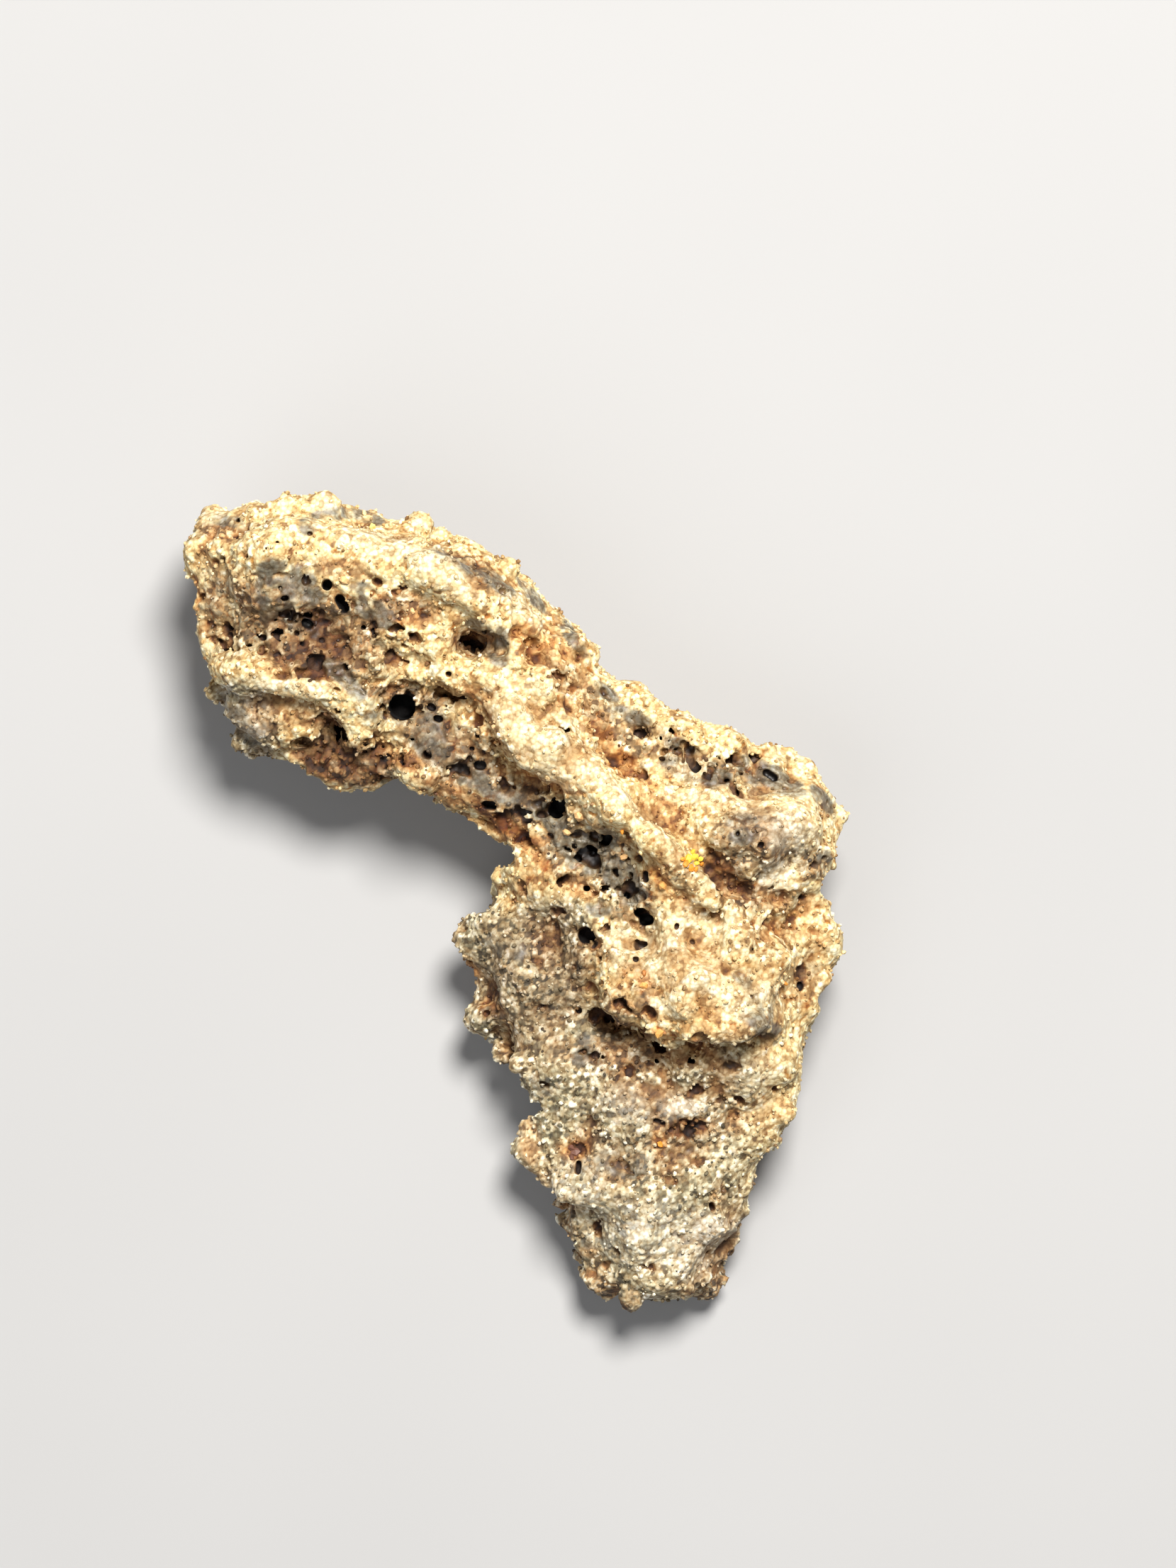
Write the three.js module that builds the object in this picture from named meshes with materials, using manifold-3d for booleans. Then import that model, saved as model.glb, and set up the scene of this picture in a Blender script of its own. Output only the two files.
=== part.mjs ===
// Fulgurite: a bent branch of sand that lightning fused into one porous, crusty stone.
// Millimetres, +Z up. The stone lies on its broad side: an arm runs from the left end to the elbow, and a
// flatter blade runs from the elbow towards -Y. The origin is under the middle of its box, where it rests.
// The form is a field that is negative inside the stone. Limbs, ridges and knobs are blended into it,
// grooves and hollows are carved out of it, and its zero surface becomes the mesh.
import * as THREE from "three";
import { ImprovedNoise } from "three/addons/math/ImprovedNoise.js";
import { mergeVertices } from "three/addons/utils/BufferGeometryUtils.js";
import Module from "manifold-3d";

// ---- Driving dimensions ----------------------------------------------------------------------------

const CELL = 0.95; // spacing of the sampling grid
const REACH = { x: 18.6, y: 22.6, top: 15.4, bottom: -3.4 }; // half the grid's plan, and its heights
const LUMPS = { size: 2.6, height: 1.1 }; // coarse roughness of the crust
const CRUMBS = { size: 1.7, height: 0.8 }; // fine roughness of the crust
const RELAX = 0.45; // how far each vertex is drawn towards the mean of its neighbours
const VESICLE_SINK = 0.3; // how far a gas bubble's centre lies under the skin, as a share of its radius
const CLIP_DEPTH = 6; // thickness of the block that cuts the feet flat

// Every form is a chain of stations. A station is [x, y, z, radius], or, where the chain is wider than
// it is thick, [x, y, z, half width, rise above z, fall below z]. blend is the width of the fillet
// between the chain and what it grows from.

// Limbs: the main masses.
const LIMBS = {
  arm: {
    blend: 2.0,
    stations: [
      [-13.3, 16.9, 6.2, 2.9, 3.2, 4.6],
      [-11.6, 14.8, 6.2, 4.6, 3.5, 5.6],
      [-9.0, 13.8, 6.3, 5.7, 3.6, 5.4],
      [-5.4, 12.6, 6.1, 5.9, 3.6, 4.8],
      [-1.9, 10.8, 6.0, 5.5, 3.6, 4.6],
      [1.2, 8.2, 5.9, 4.6, 3.6, 4.6],
      [4.4, 5.2, 6.0, 4.2, 3.6, 5.2],
      [8.2, 3.0, 6.2, 4.4, 3.8, 5.0],
      [12.2, 2.9, 6.1, 3.8, 3.9, 4.9],
    ],
  },
  shoulder: {
    blend: 2.0,
    stations: [
      [9.0, 1.5, 6.0, 5.4, 3.6, 4.7],
      [9.6, -1.8, 6.0, 5.7, 3.6, 4.3],
      [9.2, -4.0, 6.2, 4.8, 3.6, 4.2],
    ],
  },
  wing: {
    blend: 1.4,
    stations: [
      [1.6, 0.8, 4.4, 2.1, 2.2, 2.6],
      [1.1, -1.9, 4.2, 3.2, 2.4, 2.6],
      [1.3, -4.4, 4.0, 3.4, 2.4, 2.6],
      [3.2, -7.2, 4.0, 2.8, 2.4, 2.6],
    ],
  },
  blade: {
    blend: 2.0,
    stations: [
      [7.4, -4.8, 4.5, 6.8, 3.0, 3.4],
      [7.6, -8.9, 4.2, 6.3, 3.0, 3.0],
      [7.0, -12.3, 3.9, 5.6, 2.8, 2.9],
      [7.2, -15.2, 3.5, 4.4, 2.5, 3.0],
      [7.3, -17.0, 3.3, 3.6, 2.2, 3.3],
    ],
  },
};

// Ridges, rims and ribs: narrower chains that stand out of the limbs.
const RIDGES = {
  upperCrest: {
    blend: 1.1,
    stations: [
      [-13.6, 18.0, 8.8, 1.2],
      [-11.6, 18.1, 9.8, 1.4],
      [-8.8, 17.8, 10.2, 1.4],
      [-5.2, 16.8, 10.4, 1.4],
      [-2.2, 15.1, 10.2, 1.4],
      [0.3, 13.5, 9.6, 1.2],
      [2.6, 11.8, 8.6, 1.1],
    ],
  },
  mainCrest: {
    blend: 1.0,
    stations: [
      [-1.0, 10.9, 9.4, 1.8],
      [0.6, 9.3, 9.8, 2.2],
      [2.8, 7.2, 10.3, 1.9],
      [5.2, 5.4, 10.9, 1.4],
      [7.4, 3.4, 11.2, 1.1],
      [9.2, 1.2, 10.9, 1.1],
      [11.0, -1.3, 10.2, 1.4],
      [12.6, -3.4, 9.2, 1.5],
    ],
  },
  outerRim: {
    blend: 1.2,
    stations: [
      [-14.4, 18.6, 6.6, 1.2],
      [-11.6, 19.0, 6.6, 1.2],
      [-8.4, 18.2, 7.0, 1.2],
      [-4.2, 17.4, 7.4, 1.2],
      [-0.3, 16.1, 7.4, 1.5],
      [1.9, 12.9, 7.0, 1.0],
      [3.4, 11.4, 6.8, 1.2],
      [5.2, 9.9, 6.8, 1.3],
      [8.6, 8.0, 6.8, 1.3],
      [11.3, 7.1, 7.0, 1.4],
      [14.2, 6.1, 6.8, 1.3],
    ],
  },
  endRim: {
    blend: 1.0,
    stations: [
      [-14.9, 18.2, 7.0, 1.1],
      [-14.2, 15.0, 7.4, 1.0],
      [-14.0, 12.6, 7.4, 1.0],
    ],
  },
  middleRib: {
    blend: 0.8,
    stations: [
      [-14.6, 12.2, 7.8, 1.0],
      [-11.8, 11.6, 8.9, 1.1],
      [-9.2, 10.7, 9.3, 1.1],
      [-7.2, 9.9, 8.9, 0.9],
    ],
  },
  bridgeRib: {
    blend: 0.8,
    stations: [
      [-7.6, 13.6, 9.4, 1.0],
      [-4.6, 13.9, 9.9, 1.1],
      [-2.4, 14.2, 9.8, 1.1],
    ],
  },
  lowerLip: {
    blend: 0.9,
    stations: [
      [-9.4, 7.4, 5.4, 1.4],
      [-5.6, 7.9, 5.6, 1.3],
      [-2.2, 5.7, 5.8, 1.2],
      [0.2, 3.6, 6.4, 1.2],
      [2.3, 0.9, 7.2, 1.2],
      [4.2, -1.6, 7.8, 1.3],
    ],
  },
  rightFlank: {
    blend: 1.2,
    stations: [
      [13.6, 0.4, 5.6, 1.3],
      [14.6, -2.1, 5.4, 1.4],
      [13.7, -5.4, 5.2, 1.3],
      [13.0, -8.4, 4.8, 1.4],
      [12.5, -10.5, 4.4, 1.5],
      [11.0, -13.8, 3.8, 1.3],
      [9.6, -17.2, 3.2, 1.3],
    ],
  },
  keel: {
    blend: 1.8,
    stations: [
      [-12.0, 13.4, 1.6, 1.9],
      [-7.0, 12.2, 2.0, 1.8],
      [-2.0, 10.0, 2.2, 1.8],
      [3.0, 6.2, 1.7, 1.9],
      [8.0, 3.2, 1.8, 1.9],
    ],
  },
  backFin: {
    blend: 1.4,
    stations: [
      [10.5, 0.0, 1.9, 1.8],
      [9.4, -5.0, 1.9, 1.5],
      [8.4, -10.0, 1.8, 1.4],
      [7.6, -15.0, 1.4, 1.4],
    ],
  },
};

// Knobs and nubs: rounded lumps.
const KNOBS = {
  hood: { blend: 0.6, stations: [[-0.9, 13.0, 10.2, 1.3]] },
  elbowBoss: { blend: 0.9, stations: [[10.4, 4.6, 9.2, 1.9], [12.8, 3.7, 9.4, 1.9]] },
  elbowCorner: { blend: 0.9, stations: [[14.7, 4.0, 7.6, 1.8]] },
  elbowLump: { blend: 0.7, stations: [[12.9, 1.6, 8.8, 1.2]] },
  ledge: { blend: 0.7, stations: [[6.2, -3.6, 9.4, 1.5], [8.8, -4.5, 10.0, 2.0], [11.2, -4.6, 9.5, 1.7]] },
  ledgeCorner: { blend: 0.5, stations: [[12.8, -6.2, 8.6, 1.2]] },
  hangingLump: { blend: 0.9, stations: [[-10.6, 9.4, 5.0, 2.2], [-12.9, 8.9, 4.8, 1.5]] },
  hangingNub: { blend: 0.9, stations: [[-13.6, 10.9, 5.4, 1.2], [-14.8, 10.7, 5.2, 1.0]] },
  underBulge: { blend: 0.9, stations: [[-7.9, 7.4, 4.2, 1.7]] },
  wingNub: { blend: 0.8, stations: [[-1.5, -1.5, 4.4, 1.3]] },
  lowWingNub: { blend: 0.8, stations: [[-1.3, -5.4, 4.2, 1.2]] },
  highWingNub: { blend: 0.4, stations: [[-0.7, 1.2, 4.6, 0.9]] },
  bladeNub: { blend: 0.7, stations: [[1.4, -12.1, 3.6, 1.3]] },
  tip: {
    blend: 0.7,
    stations: [
      [3.3, -15.4, 3.2, 1.2],
      [4.2, -18.0, 3.0, 1.1],
      [5.6, -19.6, 3.0, 1.1],
      [9.5, -19.1, 3.0, 1.2],
    ],
  },
  endCornerNub: { blend: 0.4, stations: [[-14.9, 19.5, 6.6, 1.0]] },
  endNub: { blend: 0.4, stations: [[-13.7, 19.6, 7.0, 0.9]] },
  firstRimNub: { blend: 0.4, stations: [[-11.5, 20.0, 7.2, 0.9]] },
  secondRimNub: { blend: 0.4, stations: [[-9.6, 20.0, 7.2, 0.9]] },
  thirdRimNub: { blend: 0.4, stations: [[-4.8, 18.8, 7.4, 0.9]] },
  fourthRimNub: { blend: 0.4, stations: [[-2.4, 17.6, 7.4, 0.9]] },
};

// Feet: the lumps of the underside that the stone rests on. They are cut flat at z = 0.
const FEET = {
  endFoot: { blend: 1.4, stations: [[-11.6, 13.9, 1.5, 2.4]] },
  elbowFoot: { blend: 1.4, stations: [[10.4, 3.0, 1.5, 2.5]] },
  tipFoot: { blend: 1.2, stations: [[7.2, -16.2, 1.4, 2.2]] },
};

// Grooves and hollows: chains that are carved out.
const HOLLOWS = {
  crestGroove: {
    blend: 1.0,
    stations: [
      [1.0, 12.4, 11.6, 1.6],
      [3.2, 10.0, 11.0, 1.6],
      [5.8, 7.8, 11.0, 1.5],
      [8.0, 5.9, 11.2, 1.4],
    ],
  },
  bossGroove: {
    blend: 0.9,
    stations: [
      [10.0, 2.0, 11.8, 1.1],
      [11.6, 0.2, 11.0, 1.5],
      [14.2, 0.3, 9.8, 1.4],
    ],
  },
  ledgeShadow: {
    blend: 0.5,
    stations: [
      [4.7, -6.0, 8.2, 1.3],
      [6.3, -7.4, 7.6, 1.3],
      [9.4, -7.9, 7.8, 1.2],
      [11.6, -8.0, 7.6, 1.0],
    ],
  },
  sideCavity: { blend: 0.4, stations: [[-2.9, 12.7, 10.4, 1.0], [-2.1, 12.9, 9.6, 0.9]] },
  cleft: { blend: 0.6, stations: [[-10.2, 9.2, 7.6, 1.3], [-8.6, 8.5, 7.2, 1.2]] },
  upperScoop: {
    blend: 1.2,
    stations: [
      [-12.0, 15.4, 11.6, 1.7],
      [-9.0, 15.4, 11.8, 1.8],
      [-6.2, 15.1, 11.9, 1.5],
    ],
  },
  lowerScoop: {
    blend: 1.0,
    stations: [
      [-11.6, 13.2, 11.2, 1.3],
      [-7.6, 11.7, 11.2, 1.4],
      [-4.2, 11.2, 11.4, 1.4],
    ],
  },
  innerCorner: { blend: 0.8, stations: [[-1.4, 2.4, 3.0, 1.1], [-1.6, 2.6, 6.4, 1.1]] },
  bladeNotch: { blend: 0.5, stations: [[-0.2, -10.0, 1.0, 1.5], [0.2, -10.2, 7.0, 1.5]] },
  bladeDent: { blend: 0.8, stations: [[8.8, -11.4, 8.1, 1.4]] },
  lowerDent: { blend: 0.8, stations: [[5.6, -13.8, 7.6, 1.4]] },
  bladeSlot: { blend: 0.4, stations: [[3.2, -12.9, 6.8, 0.6], [3.5, -13.8, 6.6, 0.6]] },
};

// Vesicles: gas bubbles that break through the upper skin, as [x, y, radius].
const VESICLES = [
  [-5.7, 9.9, 0.75],
  [2.2, 4.9, 0.65],
  [3.9, 2.4, 0.75],
  [4.8, 3.1, 0.55],
  [5.9, 0.4, 0.6],
  [6.8, -0.8, 0.65],
  [-9.9, 16.2, 0.55],
  [-11.0, 14.9, 0.55],
  [-14.1, 13.3, 0.55],
  [-3.4, 10.7, 0.6],
  [8.2, 8.2, 0.6],
  [10.9, 7.0, 0.6],
  [-0.6, 16.0, 0.55],
  [3.7, -1.5, 0.6],
];

// ---- The field ---------------------------------------------------------------------------------------

const perlin = new ImprovedNoise();

function noise(x, y, z, { size, height }) {
  return height * perlin.noise(x / size, y / size, z / size);
}

// Smooth minimum: joins two fields with a fillet about as wide as blend.
function join(a, b, blend) {
  const near = Math.max(blend - Math.abs(a - b), 0) / blend;
  return Math.min(a, b) - (near * near * blend) / 4;
}

function carve(a, b, blend) {
  return -join(-a, b, blend);
}

// A station as {at, across, up, down}; [x, y, z, radius] is round.
function readStation([x, y, z, across, up = across, down = across]) {
  return { x, y, z, across, up, down };
}

// The field of the tapered chain through the stations, measured in its oval sections.
function chainField(stations, x, y, z) {
  let nearest = Infinity;
  const last = stations.length - 1;
  for (let i = 0; i < Math.max(last, 1); i++) {
    const a = stations[i];
    const b = stations[Math.min(i + 1, last)];
    const run = [b.x - a.x, b.y - a.y, b.z - a.z];
    const length2 = run[0] ** 2 + run[1] ** 2 + run[2] ** 2;
    const along = (x - a.x) * run[0] + (y - a.y) * run[1] + (z - a.z) * run[2];
    const t = length2 > 0 ? THREE.MathUtils.clamp(along / length2, 0, 1) : 0;
    const mix = (key) => a[key] + t * (b[key] - a[key]);
    const offset = z - mix("z");
    const across = mix("across");
    const thick = offset > 0 ? mix("up") : mix("down");
    const share = Math.hypot((x - mix("x")) / across, (y - mix("y")) / across, offset / thick);
    nearest = Math.min(nearest, (share - 1) * Math.min(across, thick));
  }
  return nearest;
}

const readChain = ({ blend, stations }) => ({ blend, stations: stations.map(readStation) });
const added = [LIMBS, RIDGES, KNOBS, FEET].flatMap(Object.values).map(readChain);
const removed = Object.values(HOLLOWS).map(readChain);

function stoneField(x, y, z) {
  let field = Infinity;
  for (const { blend, stations } of added) field = join(field, chainField(stations, x, y, z), blend);
  for (const { blend, stations } of removed) field = carve(field, chainField(stations, x, y, z), blend);
  return field + noise(x, y, z, LUMPS) + noise(y, z, x, CRUMBS);
}

// ---- From the field to a mesh ------------------------------------------------------------------------

// The corners of a grid cell, numbered by the bits x, y, z, and the pairs of them that its edges join.
const CORNERS = [0, 1, 2, 3, 4, 5, 6, 7].map((bits) => [bits & 1, (bits >> 1) & 1, bits >> 2]);
const EDGES = CORNERS.flatMap((corner, n) => {
  const bits = [1, 2, 4].filter((bit) => !(n & bit));
  return bits.map((bit) => [n, n | bit]);
});

// True when the corners listed hang together along the edges of the cell.
function hangTogether(corners) {
  const reached = new Set(corners.slice(0, 1));
  const bridges = EDGES.filter((edge) => edge.every((corner) => corners.includes(corner)));
  for (let pass = 0; pass < 4; pass++) {
    for (const [a, b] of bridges) {
      if (reached.has(a) || reached.has(b)) reached.add(a).add(b);
    }
  }
  return reached.size === corners.length;
}

const ALL = CORNERS.map((corner, n) => n);
const SIMPLE = Array.from({ length: 256 }, (unused, bits) => {
  const inside = ALL.filter((n) => (bits >> n) & 1);
  return hangTogether(inside) && hangTogether(ALL.filter((n) => !inside.includes(n)));
});

// Takes in the outside corners that the open air round the stone doesn't reach, so no void is sealed in.
function fillVoids(values, steps) {
  const reached = new Uint8Array(values.length);
  const front = [0];
  reached[0] = 1;
  while (front.length) {
    const corner = front.pop();
    for (const next of steps.flatMap((step) => [corner - step, corner + step])) {
      if (!(values[next] >= 0) || reached[next]) continue;
      reached[next] = 1;
      front.push(next);
    }
  }
  values.forEach((value, corner) => {
    if (value >= 0 && !reached[corner]) values[corner] = -0.25 * CELL;
  });
}

// Samples the field on a grid. Where two sheets of the surface would touch inside one cell, the outside
// corner that lies nearest the surface is taken in, until each cell holds a single sheet.
function sampleField(counts, pointAt) {
  const [nx, ny, nz] = counts;
  const at = (i, j, k) => i + nx * (j + ny * k);
  const values = new Float64Array(nx * ny * nz);
  for (let k = 0; k < nz; k++)
    for (let j = 0; j < ny; j++)
      for (let i = 0; i < nx; i++) values[at(i, j, k)] = stoneField(...pointAt(i, j, k));

  const steps = CORNERS.map(([di, dj, dk]) => at(di, dj, dk));
  for (let changed = true; changed; ) {
    fillVoids(values, [1, nx, nx * ny]);
    changed = false;
    for (let k = 0; k < nz - 1; k++)
      for (let j = 0; j < ny - 1; j++)
        for (let i = 0; i < nx - 1; i++) {
          const cell = steps.map((step) => at(i, j, k) + step);
          if (SIMPLE[cell.reduce((bits, c, n) => bits | ((values[c] < 0) << n), 0)]) continue;
          const outside = cell.filter((c) => values[c] >= 0);
          const nearest = outside.reduce((a, b) => (values[b] < values[a] ? b : a));
          values[nearest] = -0.25 * CELL;
          changed = true;
        }
  }
  return { values, at };
}

// Surface nets: one vertex in each grid cell that the surface crosses, at the mean of its crossings, and
// two triangles round each grid edge that it crosses.
function surfaceNets() {
  const low = [-REACH.x, -REACH.y, REACH.bottom];
  const high = [REACH.x, REACH.y, REACH.top];
  const counts = low.map((v, axis) => Math.ceil((high[axis] - v) / CELL) + 1);
  const pointAt = (...ijk) => ijk.map((n, axis) => low[axis] + n * CELL);
  const { values, at } = sampleField(counts, pointAt);

  const positions = [];
  const vertexOf = new Map();
  const triangles = [];
  for (let k = 0; k < counts[2] - 1; k++)
    for (let j = 0; j < counts[1] - 1; j++)
      for (let i = 0; i < counts[0] - 1; i++) {
        const value = CORNERS.map(([di, dj, dk]) => values[at(i + di, j + dj, k + dk)]);
        const crossed = EDGES.filter(([a, b]) => value[a] < 0 !== value[b] < 0);
        if (!crossed.length) continue;
        const mean = new THREE.Vector3();
        for (const [a, b] of crossed) {
          const t = value[a] / (value[a] - value[b]);
          mean.add(new THREE.Vector3(...CORNERS[a]).lerp(new THREE.Vector3(...CORNERS[b]), t));
        }
        mean.divideScalar(crossed.length);
        vertexOf.set(at(i, j, k), positions.length / 3);
        positions.push(...pointAt(i + mean.x, j + mean.y, k + mean.z));
      }

  const vertex = (n) => new THREE.Vector3().fromArray(positions, 3 * n);
  const apart = (n, m) => vertex(n).distanceTo(vertex(m));
  const steps = [at(1, 0, 0), at(0, 1, 0), at(0, 0, 1)];
  for (let k = 1; k < counts[2] - 1; k++)
    for (let j = 1; j < counts[1] - 1; j++)
      for (let i = 1; i < counts[0] - 1; i++)
        for (let axis = 0; axis < 3; axis++) {
          const here = at(i, j, k);
          const insideHere = values[here] < 0;
          if (insideHere === values[here + steps[axis]] < 0) continue;
          const [u, v] = [steps[(axis + 1) % 3], steps[(axis + 2) % 3]];
          const ring = [here - u - v, here - v, here, here - u].map((cell) => vertexOf.get(cell));
          const [a, b, c, d] = insideHere ? ring : ring.reverse();
          if (apart(a, c) < apart(b, d)) triangles.push(a, b, c, a, c, d);
          else triangles.push(b, c, d, b, d, a);
        }
  const geometry = new THREE.BufferGeometry();
  geometry.setAttribute("position", new THREE.Float32BufferAttribute(relax(positions, triangles), 3));
  geometry.setIndex(triangles);
  return geometry;
}

// Draws each vertex towards the mean of its neighbours, which blunts needles and evens the triangles.
function relax(positions, triangles) {
  const sums = new Float64Array(positions.length);
  const counts = new Float64Array(positions.length / 3);
  for (let n = 0; n < triangles.length; n++) {
    const from = triangles[n % 3 === 2 ? n - 2 : n + 1];
    counts[triangles[n]] += 1;
    for (let axis = 0; axis < 3; axis++) sums[3 * triangles[n] + axis] += positions[3 * from + axis];
  }
  return positions.map((p, n) => p + RELAX * (sums[n] / counts[Math.floor(n / 3)] - p));
}

// ---- Cutting with manifold-3d ------------------------------------------------------------------------

const wasm = await Module();
wasm.setup();

function toSolid(geometry) {
  const bare = geometry.clone();
  bare.deleteAttribute("normal");
  bare.deleteAttribute("uv");
  const merged = mergeVertices(bare);
  const vertProperties = new Float32Array(merged.attributes.position.array);
  const triVerts = new Uint32Array(merged.index.array);
  return new wasm.Manifold(new wasm.Mesh({ numProp: 3, vertProperties, triVerts }));
}

function toGeometry(solid) {
  const mesh = solid.getMesh();
  const geometry = new THREE.BufferGeometry();
  geometry.setAttribute("position", new THREE.BufferAttribute(mesh.vertProperties, mesh.numProp));
  geometry.setIndex(new THREE.BufferAttribute(mesh.triVerts, 1));
  geometry.computeVertexNormals();
  return geometry;
}

// A gas bubble: a ball whose centre lies just under the upper skin, over a point of the plan.
function vesicle(skin, [x, y, radius]) {
  const probe = new THREE.Raycaster(new THREE.Vector3(x, y, REACH.top), new THREE.Vector3(0, 0, -1));
  const [hit] = probe.intersectObject(skin);
  const ball = new THREE.IcosahedronGeometry(radius, 1);
  ball.rotateX(x);
  ball.rotateY(y);
  ball.translate(x, y, hit.point.z - VESICLE_SINK * radius);
  return toSolid(ball);
}

// The block under z = 0 that cuts the feet flat.
function groundBlock() {
  const block = new THREE.BoxGeometry(2 * REACH.x, 2 * REACH.y, CLIP_DEPTH);
  block.translate(0, 0, -CLIP_DEPTH / 2);
  return toSolid(block);
}

function buildStone() {
  const skin = surfaceNets();
  const stone = toSolid(skin).subtract(groundBlock());
  const bubbles = VESICLES.map((bubble) => vesicle(new THREE.Mesh(skin), bubble));
  const geometry = toGeometry(bubbles.reduce((left, bubble) => left.subtract(bubble), stone));
  geometry.computeBoundingBox();
  const middle = geometry.boundingBox.getCenter(new THREE.Vector3());
  return geometry.translate(-middle.x, -middle.y, 0);
}

const sand = new THREE.MeshStandardMaterial({ color: 0xcdab78, roughness: 0.92, metalness: 0 });
const fulgurite = new THREE.Mesh(buildStone(), sand);
fulgurite.name = "fulgurite";

const part = new THREE.Group();
part.add(fulgurite);

export default part;
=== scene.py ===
"""Looks for the fulgurite: a porous crust of fused sand, loose grains on it, and a plain studio."""

import itertools
import math
from concurrent.futures import ThreadPoolExecutor

import bpy
import numpy as np
import openvdb
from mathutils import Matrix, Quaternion, Vector
from mathutils.bvhtree import BVHTree
from mathutils.kdtree import KDTree


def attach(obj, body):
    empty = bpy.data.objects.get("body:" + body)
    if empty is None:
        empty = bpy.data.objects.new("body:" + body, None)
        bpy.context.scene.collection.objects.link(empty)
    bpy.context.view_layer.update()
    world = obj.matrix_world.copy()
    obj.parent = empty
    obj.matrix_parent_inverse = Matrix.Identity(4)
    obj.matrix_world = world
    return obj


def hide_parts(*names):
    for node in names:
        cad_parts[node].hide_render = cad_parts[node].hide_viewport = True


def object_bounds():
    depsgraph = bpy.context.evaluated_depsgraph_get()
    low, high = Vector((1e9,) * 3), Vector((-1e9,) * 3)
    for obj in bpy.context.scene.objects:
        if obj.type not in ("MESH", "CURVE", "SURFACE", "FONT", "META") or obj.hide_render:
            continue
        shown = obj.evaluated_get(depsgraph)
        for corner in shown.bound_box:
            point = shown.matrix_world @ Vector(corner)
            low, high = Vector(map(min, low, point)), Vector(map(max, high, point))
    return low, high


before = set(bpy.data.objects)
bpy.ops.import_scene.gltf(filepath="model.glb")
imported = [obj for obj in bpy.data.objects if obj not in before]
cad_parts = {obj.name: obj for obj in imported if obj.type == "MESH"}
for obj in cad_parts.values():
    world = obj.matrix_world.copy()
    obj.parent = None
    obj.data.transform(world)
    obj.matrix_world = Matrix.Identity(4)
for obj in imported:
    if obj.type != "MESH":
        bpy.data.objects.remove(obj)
CAD_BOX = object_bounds()
rng = np.random.default_rng(11)

# Everything below is measured in millimetres in the shared frame; MM turns it into Blender's metres.
MM = 0.001
VOXEL = 0.105  # spacing of the grid that the crust is sculpted on
REACH = 0.80  # how far from the smoothed form the crust may depart, bubbles aside
GRAIN = 0.33  # width of the sand grains on the arm and the shoulder
FINE_GRAIN = 0.26  # width of those on the wing and the blade
SMOOTHING = 0.26  # how widely the CAD solid's facets are smoothed before the crust is sculpted
EDGE = 0.4  # the sculpted distances are cut off here
RANDOM_PITS = 6_500  # tries, of which a few in a hundred find a pitted place
RANDOM_BUBBLES = 9_000
LOOSE_GRAINS = 6_500
SLABS = 4  # the crust is handed over in this many meshes, cut along the stone

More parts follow.
